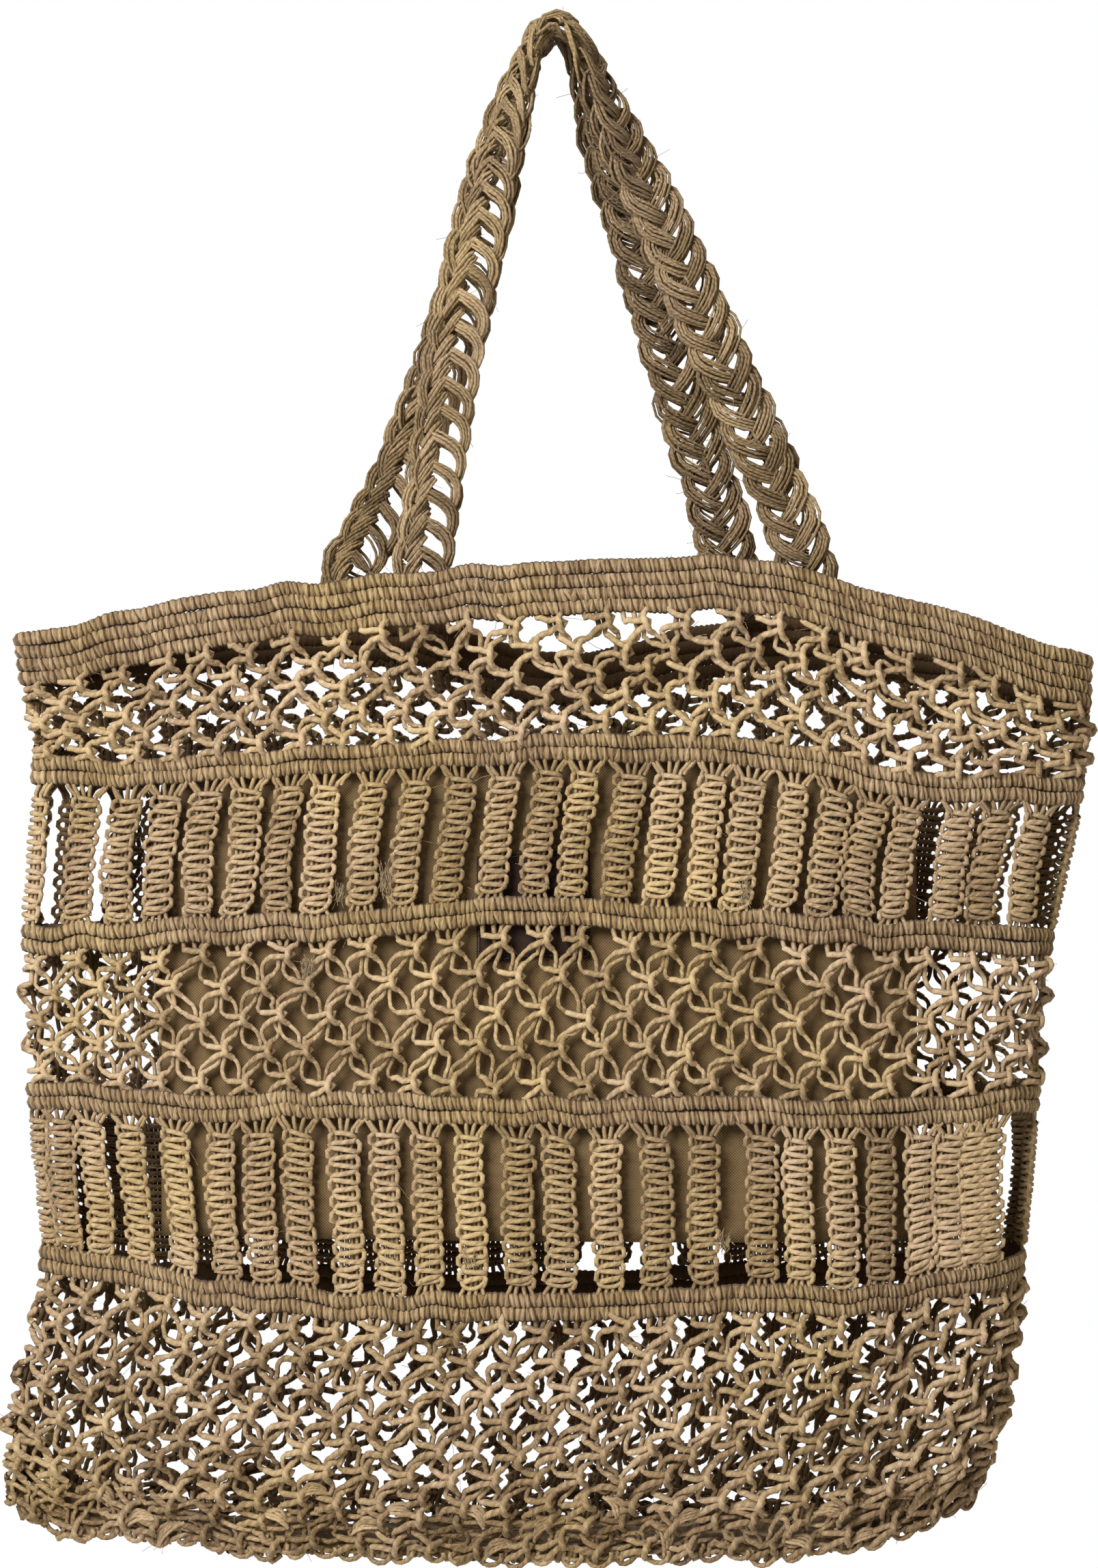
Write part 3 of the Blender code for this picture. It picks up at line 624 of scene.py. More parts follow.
def knotted_bars(band, places_at, level, crossings, order):
    """All strands of one band of bars: one cord crosses in front, one behind, each turns at both sides."""
    pick = np.random.default_rng(order)
    around = bar_places(places_at, level, pick)
    lean = pick.normal(0, 0.0012, COLUMNS)
    swell = pick.uniform(0.95, 1.10, COLUMNS)
    tone = pick.uniform(0.0, 0.30, COLUMNS)
    finish = BAR_FOOT + pick.uniform(-0.0008, 0.0012, COLUMNS)
    step = ((band.height - BAR_TOP - finish) / crossings)[:, None]

    def strand(points, radius, sides, shade):
        across, drop, out = points
        share = drop / band.height
        drift = lean[:, None] * np.sin(math.pi * share) + 0.0006 * np.sin(7 * share + 9 * tone[:, None])
        placed = band.place(around[:, None] * band.girth + across * swell[:, None] + drift, drop, out)
        parts.append(tubes(placed, radius, sides, shade))

    def wound(places):
        """Points repeated for each crossing, to and fro, a little unevenly."""
        joined = []
        for across, down, out in places:
            loose = pick.normal(0, 1, (3, COLUMNS, crossings))
            joined.append((way * (across * bulge + 0.03 * loose[0]) * BAR_HALF_WIDTH,
                           middle + (down + 0.03 * loose[1]) * step, (out + 0.08 * loose[2]) / 1000))
        return [np.stack(values, axis=-1).reshape(COLUMNS, -1) for values in zip(*joined)]

    parts = []
    number = np.arange(crossings)
    way = np.where(number % 2 == 0, 1.0, -1.0)
    middle = BAR_TOP + (number + 0.5) * step + 0.0002 * pick.standard_normal((COLUMNS, crossings))
    bulge = 1 + 0.06 * pick.standard_normal((COLUMNS, crossings))
    # painted shade: the cord behind is a little darker than the cord in front, and the cores between them
    # darker still
    strand(wound(FRONT_CROSSING), CORD / 2 * 1.04, 5, tone + pick.uniform(0.06, 0.16, COLUMNS))
    strand(wound(BACK_CROSSING), CORD / 2 * 0.98, 5, tone + pick.uniform(-0.02, 0.10, COLUMNS))
    core_drops = np.array((-0.0010, 0.0012, 0.0036, 0.0066))
    for core, x in enumerate(BAR_CORES):
        end = band.height + 0.0006
        drops = np.concatenate((core_drops, (0.37 * end, 0.68 * end, end - 0.0042, end)))
        fan = (core - 1.5) / 1.5 * BAR_FAN + pick.normal(0, 0.0005, COLUMNS)
        spread = np.array((1.0, 0.66, 0.20, 0.0, 0.0, 0.0, 0.08, 0.55))
        across = fan[:, None] * spread + x * (1 - spread)
        out = 0.0009 * (spread > 0.1) * (spread < 0.9) + 0.0003 + 0 * across
        strand((across, drops + 0 * across, out), CORD / 2 * 0.82, 4, tone)
    swing = np.linspace(-1, 1, 8) * math.pi / 2
    across = BAR_HALF_WIDTH * 0.98 * np.sin(swing) + 0 * tone[:, None]
    depth = pick.uniform(0.5, 1.2, COLUMNS)[:, None]
    drop = band.height - finish[:, None] - 0.0010 + 0.0026 * np.cos(swing) * depth
    strand((across, drop, 0.0014 + 0 * across), CORD / 2 * 0.9, 5, tone + 0.08)
    for side in (-1, 1):
        drop = np.array((-0.0008, 0.0012, 0.0028, 0.0046)) + pick.normal(0, 0.0002, (COLUMNS, 4))
        across = side * np.array((0.0078, 0.0066, 0.0054, 0.0046)) + pick.normal(0, 0.0003, (COLUMNS, 4))
        strand((across, drop, 0.0010 + 0 * across), CORD / 2 * 0.8, 4, tone)
    return parts


FRAY_RADIUS = 0.00014
FRAY_HAIRS = 46


def frayed_ends(places, order):
    """Brushes of frayed cord ends on the front, by their middle, width and height in millimetres."""
    pick = np.random.default_rng(order)
    parts = []
    each = (FRAY_HAIRS, 1)
    share = np.linspace(-0.5, 0.5, 4)
    for x, z, wide, tall in places:
        sway = pick.normal(0, 0.5, each)
        spread = pick.uniform(-0.5, 0.5, each) + 0.4 * sway * share
        across = x + wide * (spread + 0.5 * pick.standard_normal(each) * share ** 2)
        height = z + tall * (0.3 * pick.standard_normal(each) + pick.uniform(0.4, 0.9, each) * share)
        level, around = front_level(across / 1000, height / 1000)
        out = 0.0024 + 0.0008 * pick.standard_normal(each) + 0.0012 * share * pick.standard_normal(each)
        tone = pick.uniform(0.15, 0.55, FRAY_HAIRS)
        parts.append(tubes(wall(level, around, out), FRAY_RADIUS, 3, tone))
    return parts


upper_bar_band = Band(PAIR_1, half_pair, PAIR_2, -half_pair)
upper_bars = knotted_bars(upper_bar_band, UPPER_BARS_AT, 1.5, 17, 61)
upper_frays = ((-65.3, -333.9, 4.6, 9.0), (-83.5, -337.8, 3.2, 5.4), (74.1, -337.3, 4.0, 7.5))
upper_bars += frayed_ends(upper_frays, 261)
make_piece("upper_bar_knots", upper_bars, jute, "upper_bars", 110, 161)


# The middle net: the most open one, five rows of the same square knots, through which the pouch
# shows. The end of one cord has frayed.
middle_band = Band(PAIR_2, half_pair, PAIR_3, -half_pair)
middle_net = knotted_net(middle_band, 5, 0.98, 52, ragged=1.1, shade=0.03)
middle_net += frayed_ends(((-96.0, -367.5, 4.6, 6.5),), 262)
make_piece("middle_net_knots", middle_net, jute, "middle_net", 110, 152)


# The lower bars: a taller band of the same bars, tied of twenty crossings each. At the right side
# they stand close together.
LOWER_BARS_AT = (
    -193, -181, -165, -147, -129, -114, -99, -81, -65, -50, -32, -14,
    1, 21, 38, 58, 80, 95, 111, 126, 142, 155, 163, 170,
)
lower_bar_band = Band(PAIR_3, half_pair, PAIR_4, -half_pair)
lower_bars = knotted_bars(lower_bar_band, LOWER_BARS_AT, 3.5, 20, 62)
lower_bars += frayed_ends(((-32.5, -480.0, 4.4, 5.5), (66.1, -472.8, 5.0, 5.5)), 263)
make_piece("lower_bar_knots", lower_bars, jute, "lower_bars", 120, 162)


# The lower net: seven rows of the same square knots, tied of a slightly thicker stretch of the
# twine and a little less evenly, down to the edge of the base.
BASE_EDGE = 0.021
lower_band = Band(PAIR_4, half_pair, BASE, -BASE_EDGE)
# its shade of -0.09 is painted shade, darker towards the bottom of the bag
lower_net = knotted_net(lower_band, 7, 1.08, 53, ragged=1.4, shade=-0.09)
make_piece("lower_net_knots", lower_net, jute, "lower_net", 170, 153)


# The closed bottom: two rows knotted close together, with cords gathered in thick crescents and
# level cords behind. Two rings of picot loops run along the edge, and rows of hitches close the floor.
BASE_ROWS = 2
GATHERS = 44
PICOTS = 74
# pieces of cord in each level ring behind the knots, and how far up each ring lies
LEVEL_CORDS = 56
LEVEL_CORDS_UP = (0.0042, 0.0085, 0.0130, 0.0180)
# how far up from the edge and out of the wall each ring of picots stands
PICOT_RINGS = ((0.0048, 0.0006), (0.0068, -0.0014))
FLOOR_POINTS = 160
FLOOR_ROWS = 8
FLOOR_CORD = 0.0026
base_band = Band(BASE, -BASE_EDGE - 0.001, BASE, -0.0035)


def base_strands(order):
    """All strands of the knotted edge: its knots, crescents, level cords and picots."""
    pick = np.random.default_rng(order)
    # painted shade: the base's knots, like its other strands, are darker than the nets above, towards the
    # bottom of the bag
    parts = knotted_net(base_band, BASE_ROWS, 1.0, order + 1, ragged=2.0, shade=-0.24)

    def lay(across, rise, out, at):
        """Points by distances from places round the edge: across, up from it and out of it."""
        around = at[:, None] + across / base_band.girth
        return wall(np.clip(below(BASE, around, -rise), 0, BASE), around, out)

    at = (np.arange(GATHERS) + pick.uniform(-0.4, 0.4, GATHERS)) / GATHERS
    up = pick.uniform(0.006, 0.027, GATHERS)
    tilt = pick.normal(0, 0.7, GATHERS)
    tone = pick.uniform(-0.10, 0.26, GATHERS)
    share = np.linspace(-1, 1, 6)
    for strand in range(4):
        x = (0.0046 + 0.0007 * strand) * share + pick.normal(0, 0.0003, (GATHERS, 6))
        y = 0.0024 * (1 - share ** 2) - 0.00125 * (strand - 1.5) * (1 - 0.35 * share ** 2)
        y = y + pick.normal(0, 0.0002, (GATHERS, 6))
        across = x * np.cos(tilt)[:, None] - y * np.sin(tilt)[:, None]
        rise = up[:, None] + y * np.cos(tilt)[:, None] + x * np.sin(tilt)[:, None]
        out = 0.0006 + 0.0021 * (1 - share ** 2)
        parts.append(tubes(lay(across, rise, out, at), CORD / 2 * 0.78, 5, tone + 0.05 * strand))
    points = (LEVEL_CORDS, 6)
    for layer, up_at in enumerate(LEVEL_CORDS_UP):
        at = (np.arange(LEVEL_CORDS) + 0.3 * layer + pick.uniform(-0.15, 0.15, LEVEL_CORDS)) / LEVEL_CORDS
        across = np.linspace(-0.68, 0.68, 6) * base_band.girth / LEVEL_CORDS + pick.normal(0, 0.0003, points)
        rise = up_at + pick.normal(0, 0.0012, (LEVEL_CORDS, 1)) * share + pick.normal(0, 0.0005, points)
        out = -0.0012 + 0.0016 * np.cos(share * 2.6) + pick.normal(0, 0.0002, points)
        parts.append(tubes(lay(across, rise, out, at), CORD / 2, 5, pick.uniform(-0.15, 0.2, LEVEL_CORDS)))
    at = (np.arange(PICOTS) + pick.uniform(-0.12, 0.12, PICOTS)) / PICOTS
    swing = np.linspace(-1.3, 1.3, 9) * math.pi / 2
    wide = pick.uniform(0.0036, 0.0048, PICOTS)[:, None]
    deep = pick.uniform(0.0026, 0.0044, PICOTS)[:, None]
    for lift, out in PICOT_RINGS:
        between = at + 0.4 * (out < 0) / PICOTS
        path = lay(wide * np.sin(swing), lift - deep * np.cos(swing), out + 0.0009 * np.sin(swing), between)
        parts.append(tubes(path, CORD / 2, 5, pick.uniform(-0.12, 0.22, PICOTS)))
    return parts


def floor_rows(order):
    """Rows of long hitches that close the floor, one inside the other."""
    pick = np.random.default_rng(order)
    number = np.arange(FLOOR_POINTS)
    ring = number / FLOOR_POINTS
    edge = wall(below(BASE, ring, -0.006), ring, -0.0022)
    centre = edge.mean(axis=0)
    parts = []
    for row, share in enumerate(np.linspace(0.97, 0.03, FLOOR_ROWS)):
        path = edge.copy()
        path[:, 1] = centre[1] + (edge[:, 1] - centre[1]) * share
        path[:, 0] = centre[0] + (edge[:, 0] - centre[0]) * (0.84 + 0.14 * share)
        path[:, 2] += 0.0012 * (1 - share) + 0.0002 * pick.standard_normal(FLOOR_POINTS)
        bead = FLOOR_CORD * (0.72 + 0.38 * np.abs(np.sin(number * math.pi / 2 + row)))[None]
        parts.append(tubes(path[None], bead, 5, pick.uniform(-0.1, 0.1), joined=True))
    return parts


base_knots = base_strands(71) + floor_rows(72)
make_piece("base_knots", base_knots, jute, "base_net", 150, 171)


# The pouch: a flat bag of dark plain-woven canvas, open at the top, folded over and stitched
# into a hem, with a plain dark patch on its front. It hangs inside against the front wall.
POUCH_WIDTH = 0.297
POUCH_HEIGHT = 0.191
POUCH_LEFT = -0.155
POUCH_BULGE = 0.016
POUCH_EDGE = 0.0034
POUCH_BEHIND = 0.0019
POUCH_TOP = -PAIR_ROWS / 2 * HITCH_ROW + 0.0035
POUCH_HEM = 0.0175


def pouch_face(across, down, out):
    """Points of the pouch's front cloth; out is how far in front of it."""
    across, down, out = np.broadcast_arrays(*(np.asarray(v, float) for v in (across, down, out)))
    x = POUCH_LEFT + POUCH_WIDTH * across
    around = front_way(x, PAIR_1 * LEVEL_STEPS)
    top = height_at(np.ones(x.shape), around) + POUCH_TOP
    bottom = height_at(np.ones(1), np.array([0.25]))[0] + POUCH_TOP - POUCH_HEIGHT
    z = top + (bottom - top) * down
    level, around = front_level(x, z)
    y = wall(level, around, -HITCH_THICKNESS / 2)[..., 1] + POUCH_BEHIND
    return np.stack((x, y - out, z), axis=-1)


def pouch_depth(across, down):
    """How far the back cloth stands behind the front."""
    low = np.sin(math.pi * (0.25 + 0.75 * down))
    belly = np.sqrt(np.maximum(np.sin(math.pi * across), 0)) * (0.35 + 0.65 * low)
    return POUCH_EDGE + (POUCH_BULGE - POUCH_EDGE) * belly


def cloth_part(corners, quads, flat):
    """Cloth ready for a piece, with the place of each corner on the flat cloth."""
    return {"corners": corners, "quads": quads, "layout": flat[quads].reshape(-1, 2),
            "tone": np.zeros(len(corners))}


def pouch_cloths(columns, rows):
    """The two cloths of the pouch, joined at the sides and the bottom."""
    across, down = np.meshgrid(np.linspace(0, 1, columns + 1), np.linspace(0, 1, rows + 1))
    rumple = 0.0009 * np.sin(across * 21 + 3 * np.sin(down * 7)) * np.sin(down * 3.0)
    rumple = rumple + 0.0007 * np.sin(down * 23 + across * 9)
    hem = 0.0006 * (down * POUCH_HEIGHT < POUCH_HEM)
    front = pouch_face(across, down, hem - 0.0004)
    smooth = front[..., 1].copy()
    for _ in range(6):
        smooth[:, 1:-1] = (smooth[:, :-2] + 2 * smooth[:, 1:-1] + smooth[:, 2:]) / 4
    front[..., 1] = np.maximum(front[..., 1], smooth) + rumple * 0.6
    back = front.copy()
    back[..., 1] += pouch_depth(across, down) - hem + rumple
    ring = np.concatenate((front, back[:, ::-1]), axis=1)
    corners = ring.reshape(-1, 3)
    around = ring.shape[1]
    index = np.arange(len(corners)).reshape(rows + 1, around)
    ahead = np.roll(index, -1, axis=1)
    quads = np.stack((index[:-1], ahead[:-1], ahead[1:], index[1:]), axis=-1).reshape(-1, 4)
    front_edge, back_edge = index[-1, :columns + 1], index[-1, ::-1][:columns + 1]
    cap = np.stack((front_edge[:-1], front_edge[1:], back_edge[1:], back_edge[:-1]), axis=-1)
    width = np.concatenate((np.arange(columns + 1), np.arange(columns, -1, -1))) / columns * POUCH_WIDTH
    flat = np.stack(np.meshgrid(width, np.linspace(0, POUCH_HEIGHT, rows + 1)), axis=-1)
    return cloth_part(corners, np.concatenate((quads, cap)), flat.reshape(-1, 2))


# threads of the weave to a metre
WEAVE = 880


def canvas_finish(name, thread, gap, worn):
    """Plain-woven canvas: threads over and under each other, about a millimetre apart, a little worn."""
    material = bpy.data.materials.new(name)
    material.use_nodes = True
    shader = material.node_tree.nodes["Principled BSDF"]
    add, reckon, noise = node_maker(material)
    links = material.node_tree.links
    lay = add("ShaderNodeUVMap", {"uv_map": "lay"})
    parts = add("ShaderNodeSeparateXYZ", i0=lay.outputs[0])
    turns = [reckon("MULTIPLY", parts.outputs[axis], 2 * math.pi * WEAVE) for axis in (0, 1)]
    warp, weft = (reckon("SINE", turn) for turn in turns)
    place = add("ShaderNodeNewGeometry").outputs["Position"]
    level = reckon("MULTIPLY_ADD", reckon("MULTIPLY", warp, weft), 0.50, 0.34)
    uneven = reckon("MULTIPLY_ADD", noise(place, 420.0, 2.0), 0.5, level)
    colour = add("ShaderNodeMix", {"data_type": "RGBA"}, i0=uneven, i6=(*gap, 1), i7=(*thread, 1))
    wear = add("ShaderNodeMapRange", Value=noise(place, 55.0, 4.0, 0.6),
               From_Min=0.48, From_Max=0.75, To_Min=0.0, To_Max=0.5)
    aged = add("ShaderNodeMix", {"data_type": "RGBA"},
               i0=wear.outputs[0], i6=colour.outputs[2], i7=(*worn, 1))
    links.new(aged.outputs[2], shader.inputs["Base Color"])
    bump = add("ShaderNodeBump", Height=uneven, Distance=0.0003, Strength=0.6)
    links.new(bump.outputs[0], shader.inputs["Normal"])
    shader.inputs["Roughness"].default_value = 0.85
    shader.inputs["Specular IOR Level"].default_value = 0.2
    return material


canvas = canvas_finish("dark_canvas", (0.290, 0.190, 0.088), (0.074, 0.046, 0.020), (0.205, 0.142, 0.072))
pouch = make_piece("pouch_cloth", [pouch_cloths(50, 32)], canvas, "inner_pouch")


# the patch's place: from the hang point to the left and right, and down from the pouch's mouth
PATCH_LEFT, PATCH_RIGHT, PATCH_TOP, PATCH_BOTTOM = -0.0305, 0.0141, 0.0393, 0.0812
PATCH_OUT = 0.0010
PATCH_CLOTH = 0.0007


def cloth_patch(left, right, top, bottom, out):
    """A rectangle of cloth on the pouch's front, in metres from the hang point and the mouth."""
    points = 15
    across, down = np.meshgrid(np.linspace(left, right, points), np.linspace(top, bottom, points))
    face = pouch_face((across - POUCH_LEFT) / POUCH_WIDTH, down / POUCH_HEIGHT, out)
    thick = face + (0, PATCH_CLOTH, 0)
    corners = np.concatenate((face.reshape(-1, 3), thick.reshape(-1, 3)))
    index = np.arange(points * points).reshape(points, points)
    front = np.stack((index[:-1, :-1], index[:-1, 1:], index[1:, 1:], index[1:, :-1]), axis=-1).reshape(-1, 4)
    flat = np.stack((across, down), axis=-1).reshape(-1, 2)
    rim = np.concatenate((index[0, :-1], index[:-1, -1], index[-1, :0:-1], index[:0:-1, 0]))
    after = np.roll(rim, -1)
    sides = np.stack((rim, rim + index.size, after + index.size, after), axis=-1)
    quads = np.concatenate((front, front[:, ::-1] + index.size, sides))
    return cloth_part(corners, quads, np.concatenate((flat, flat)))


patch_cloth = canvas_finish("patch_canvas", (0.060, 0.033, 0.024), (0.016, 0.010, 0.008),
                            (0.050, 0.031, 0.023))
patch_parts = [cloth_patch(PATCH_LEFT, PATCH_RIGHT, PATCH_TOP, PATCH_BOTTOM, PATCH_OUT)]
patch = make_piece("pouch_patch", patch_parts, patch_cloth, "inner_pouch")


def stitch_rows(runs, length, out, pick):
    """Short straight stitches along runs on the pouch's front, given by their ends."""
    parts = []
    for (x0, d0), (x1, d1) in runs:
        count = int(math.hypot(x1 - x0, d1 - d0) / length)
        share = (np.arange(count)[:, None] + np.array((0.12, 0.5, 0.88))) / count
        x = x0 + (x1 - x0) * share
        down = d0 + (d1 - d0) * share + 0.0001 * pick.standard_normal(share.shape)
        lift = out + np.array((0.0, 0.0003, 0.0)) + 0 * share
        path = pouch_face((x - POUCH_LEFT) / POUCH_WIDTH, down / POUCH_HEIGHT, lift)
        parts.append(tubes(path, 0.00022, 4, 0.1))
    return parts


stitch_picks = np.random.default_rng(81)
STITCH_LENGTH = 0.0030
STITCH_OUT = 0.0014
SEAM_IN = 0.001
hem_ends = (POUCH_LEFT + 0.002, POUCH_LEFT + POUCH_WIDTH - 0.002)
hem_lines = [((hem_ends[0], down), (hem_ends[1], down)) for down in (POUCH_HEM - SEAM_IN, 0.0013)]
seam_left, seam_right = PATCH_LEFT + SEAM_IN, PATCH_RIGHT - SEAM_IN
seam_top, seam_bottom = PATCH_TOP + SEAM_IN, PATCH_BOTTOM - SEAM_IN
seam_corners = ((seam_left, seam_top), (seam_right, seam_top), (seam_right, seam_bottom),
                (seam_left, seam_bottom), (seam_left, seam_top))
thread = canvas_finish("sewing_thread", (0.20, 0.16, 0.105), (0.10, 0.08, 0.05), (0.16, 0.13, 0.085))
stitches = []
for lines in (hem_lines, zip(seam_corners, seam_corners[1:])):
    stitches += stitch_rows(lines, STITCH_LENGTH, STITCH_OUT, stitch_picks)
hem_stitches = make_piece("pouch_stitches", stitches, thread, "inner_pouch")


# The handles: two chunky straps crocheted from bundles of two to five thin jute strands held
# together, eleven millimetres to a stitch. Both hang from one point and are sewn inside the rim.
STRAP_WIDTH = 0.0250
STRAP_THICKNESS = 0.0090
STRAP_LAP = 0.0150
FOOT_SPREAD = 0.1545
BACK_SHIFT = -0.029
STITCH = 0.0110
STRAND = 0.00130
STRAP_DRAWN_IN = 0.84
STRAP_GAP = 0.0003
# the strap's run from the left foot over the hang point: along (share of the spread), drop (share
# of the handle's drop) and turn about its own length
STRAP_RUN = np.array((
    (-0.345, 1.020, 0.00), (-0.310, 0.854, 0.00), (-0.272, 0.658, 0.00), (-0.205, 0.410, 0.08),
    (-0.122, 0.165, 0.55), (-0.060, 0.028, 0.92), (0.000, -0.0216, 1.00), (0.066, 0.026, 0.92),
    (0.150, 0.165, 0.55), (0.305, 0.410, 0.08), (0.448, 0.658, 0.00), (0.570, 0.860, 0.00),
    (0.655, 1.035, 0.00),
))
# bundles of one stitch on a leg where the strap climbs and on one where it falls: strands, their spread in
# millimetres, then points along the strap, across it (positive at its outer edge) and out of its face
CLIMBING_BUNDLES = (
    (4, 1.24, ((4.2, 4.0, 1.0), (3.6, 1.2, 3.4), (2.3, -2.6, 4.6), (0.9, -6.4, 4.6),
               (-1.2, -9.8, 4.0), (-4.8, -12.0, 3.2), (-9.4, -12.0, 2.2), (-13.2, -10.4, 0.2))),
    (3, 1.26, ((-7.0, 7.2, 1.2), (-4.4, 5.8, 3.2), (-0.6, 3.6, 4.3), (2.6, 1.6, 3.8), (4.8, 0.2, 2.0))),
    (3, 1.26, ((-12.5, 7.2, 1.0), (-9.9, 5.6, 3.0), (-6.2, 3.4, 4.0), (-3.4, 1.6, 3.4), (-1.6, 0.2, 1.8))),
    (3, 1.40, ((-9.5, 7.0, 1.2), (-5.5, 9.6, 2.7), (-0.5, 11.2, 3.2), (4.6, 10.2, 2.9), (8.8, 7.6, 1.4))),
)
FALLING_BUNDLES = (
    (5, 1.34, ((-9.8, -6.2, 0.6), (-8.0, -9.4, 2.4), (-3.6, -10.8, 3.6), (0.8, -8.4, 4.7), (4.4, -4.2, 5.0),
               (7.2, -0.2, 3.8), (8.8, 2.8, 1.2))),
    (5, 1.34, ((-4.3, 6.4, 0.6), (-2.5, 9.6, 2.4), (1.9, 11.0, 3.6), (6.3, 8.6, 4.6), (9.9, 4.4, 4.9),
               (12.7, 0.4, 3.6), (14.3, -2.6, 1.0))),
    (2, 1.50, ((-6.0, -1.0, 1.0), (0.0, 0.4, 2.0), (6.0, 1.0, 1.0))),
)


class Strap:
    """The middle line of one strap with its directions, by distance along it."""

    def __init__(self, side, shift):
        place = np.linspace(0, 12, 500)
        along, drop, turn = through(STRAP_RUN, place).T
        along, drop, turn = along * FOOT_SPREAD, drop * HANDLE_DROP, np.clip(turn, 0, 1) * math.pi / 2
        lean = np.clip(drop / HANDLE_DROP, 0, 1)
        top_y = side * (STRAP_WIDTH / 2 + STRAP_GAP)
        feet = []
        for end in (0, -1):
            x = STRAP_RUN[end, 0] * FOOT_SPREAD + shift + np.array((-0.5, 0.0, 0.5)) * STRAP_WIDTH
            z = np.full(3, -HANDLE_DROP * STRAP_RUN[0, 1] - STRAP_LAP / 2)
            level, around = front_level(x, z)
            if side > 0:
                around = 1 - around
            seat = wall(level, around, 0.0)[:, 1] - side * HITCH_THICKNESS / 2
            feet.append(seat[np.argmin(np.abs(seat))] - side * (STRAP_GAP + STRAP_THICKNESS / 2))
        foot_y = np.where(place < 6, feet[0], feet[1])
        aside = shift * np.where(place < 6, lean ** 3.5, lean)
        line = np.stack((along + aside, top_y + (foot_y - top_y) * lean ** 1.5, -drop), axis=-1)
        line = np.concatenate((line[:1] - (0, 0, STRAP_LAP), line, line[-1:] - (0, 0, STRAP_LAP)))
        turn = np.concatenate((turn[:1], turn, turn[-1:]))
        length = np.concatenate(([0.0], np.cumsum(np.linalg.norm(np.diff(line, axis=0), axis=1))))
        self.length = length[-1]
        self.at = np.linspace(0, self.length, 700)
        self.line = np.stack([np.interp(self.at, length, line[:, axis]) for axis in range(3)], axis=-1)
        turn = np.interp(self.at, length, turn)[:, None]
        run = np.gradient(self.line, axis=0)
        run /= np.linalg.norm(run, axis=1, keepdims=True)
        face = (0, 1, 0) - run * run[:, 1:2]
        face /= np.linalg.norm(face, axis=1, keepdims=True)
        across = np.cross(run, face)
        self.across = across * np.cos(turn) + face * np.sin(turn)
        self.out = np.cross(run, self.across)
        lowest = self.out[0, 1]
        if lowest > 0:
            self.out = -self.out

    def place(self, along, across, out):
        """Points at distances along the strap, across it and out of its front face."""
        spots = []
        for table in (self.line, self.across, self.out):
            spots.append(np.stack([np.interp(along, self.at, table[:, axis]) for axis in range(3)], axis=-1))
        return spots[0] + spots[1] * across[..., None] + spots[2] * out[..., None]


def crocheted(strap, order, shade):
    """All strands of one strap, bundle by bundle; shade darkens the whole strap and the falling leg a little
    more, both painted shade.
    """
    pick = np.random.default_rng(order)
    stitches = int((strap.length - 0.012) / STITCH)
    at = 0.004 + (np.arange(stitches) + 0.5) * (strap.length - 0.008) / stitches
    climbing = at < strap.length / 2
    parts = []
    # painted shade: the falling leg, turned from the key light, is a little darker
    legs = ((at[climbing], CLIMBING_BUNDLES, 0.0), (at[~climbing], FALLING_BUNDLES, 0.09))
    for places, bundles, painted_leg_shade in legs:
        count = len(places)
        faced = [(strands, spread, points, face) for face in (1, -0.9) for strands, spread, points in bundles]
        for strands, spread, points, face in faced:
            points = np.array(points) / 1000 * (1, 1, face)
            dense = through(points, np.linspace(0, len(points) - 1, len(points) + 2))
            run = np.gradient(dense[:, :2], axis=0)
            run /= np.linalg.norm(run, axis=1, keepdims=True)
            sideways = np.stack((-run[:, 1], run[:, 0]), axis=-1)
            taper = 0.66 + 0.34 * np.sin(np.linspace(0.10, 0.90, len(dense)) * math.pi)
            nudge = pick.normal(0, 0.0007, (count, 1, 3)) * (1.0, 0.8, 0.6)
            tone = pick.uniform(-0.08, 0.26, count) + shade - painted_leg_shade
            for strand in range(strands):
                off = (strand - (strands - 1) / 2) * spread * 0.001
                path = dense[None] + nudge + pick.normal(0, 0.00016, (count, len(dense), 3))
                wander = pick.normal(0, 0.00022, (count, 1)) + off * pick.uniform(0.9, 1.15, (count, 1))
                path[..., :2] += sideways[None] * (wander * taper)[..., None]
                path[..., 2] += pick.normal(0, 0.00035, (count, 1)) - np.sign(dense[:, 2]) * abs(off) * 0.42
                along = np.clip(places[:, None] + path[..., 0], 0, strap.length)
                radius = STRAND / 2 * pick.uniform(0.86, 1.14, (count, 1))
                placed = strap.place(along, path[..., 1] * STRAP_DRAWN_IN, path[..., 2])
                parts.append(tubes(placed, radius, 4, tone + pick.uniform(0, 0.12, count)))
    return parts


handle_jute = jute_finish("jute_strands", (0.64, 0.490, 0.305), (0.345, 0.243, 0.128),
                          (0.082, 0.047, 0.019), ply=2.2)
# the back strap's shade of -0.12 is painted shade, as in the front strap's shadow
handles = (("handle_front", -1, 0.0, 0.0, 91), ("handle_back", 1, BACK_SHIFT, -0.12, 92))
for name, side, shift, shade, order in handles:
    crochet = crocheted(Strap(side, shift), order, shade)
    make_piece(name + "_crochet", crochet, handle_jute, name, 130, order + 100)


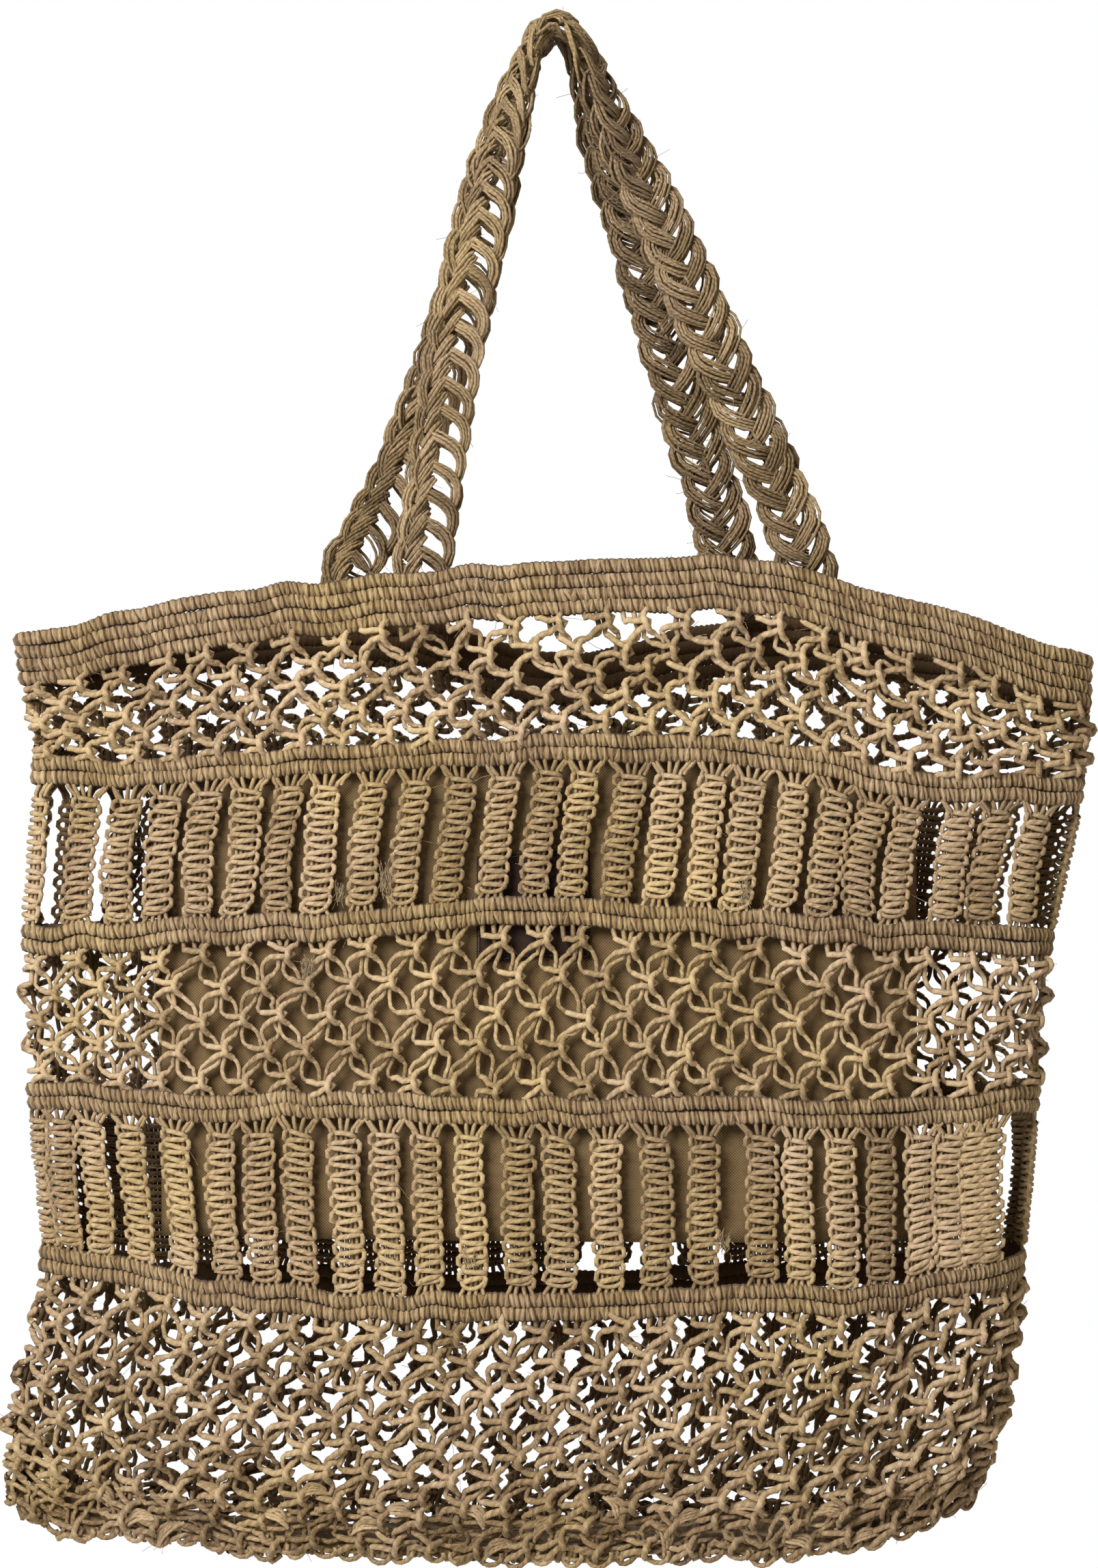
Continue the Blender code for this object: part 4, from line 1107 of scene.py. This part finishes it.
# The studio: a plain white floor under the hanging bag and white all round, which lights it
# faintly and warmly. One large soft light from the upper left, and weaker ones from right and back.
world = bpy.data.worlds.new("white_studio")
world.use_nodes = True
add = node_maker(world)[0]
seen = add("ShaderNodeLightPath").outputs["Is Camera Ray"]
strength = add("ShaderNodeMapRange", Value=seen, To_Min=0.21, To_Max=1.0)
colour = add("ShaderNodeMix", {"data_type": "RGBA"}, i0=seen, i6=(1.0, 0.84, 0.62, 1), i7=(1, 1, 1, 1))
background = world.node_tree.nodes["Background"]
world.node_tree.links.new(strength.outputs["Result"], background.inputs["Strength"])
world.node_tree.links.new(colour.outputs[2], background.inputs["Color"])
scene.world = world
scene.view_settings.view_transform = "Standard"


BAG_MIDDLE = (0.0, 0.0, -0.35)


def soft_light(name, place, size, power):
    """A square area light aimed at the middle of the bag."""
    data = bpy.data.lights.new(name, "AREA")
    data.size = size
    data.energy = power
    light = bpy.data.objects.new(name, data)
    scene.collection.objects.link(light)
    light.location = place
    aim = np.array(BAG_MIDDLE) - np.array(place)
    light.rotation_euler = (math.acos(-aim[2] / np.linalg.norm(aim)), 0, math.atan2(-aim[0], aim[1]))


soft_light("key_light", (-0.85, -1.35, 0.65), 0.9, 41.0)
soft_light("fill_light", (1.1, -1.4, 0.0), 1.0, 1.0)
soft_light("back_light", (0.7, 1.6, 0.4), 1.0, 16.0)

FLOOR = -1.15
REACH = 1.9
floor_mesh = bpy.data.meshes.new("studio_floor")
floor_corners = [(x * REACH, y * REACH, FLOOR) for x, y in ((-1, -1), (1, -1), (1, 1), (-1, 1))]
floor_mesh.from_pydata(floor_corners, [], [(0, 1, 2, 3)])
floor_paint = bpy.data.materials.new("white_floor")
floor_paint.use_nodes = True
floor_shader = floor_paint.node_tree.nodes["Principled BSDF"]
floor_shader.inputs["Base Color"].default_value = (0.95, 0.95, 0.95, 1)
floor_shader.inputs["Roughness"].default_value = 0.9
floor_mesh.materials.append(floor_paint)
floor = bpy.data.objects.new("studio_floor", floor_mesh)
scene.collection.objects.link(floor)
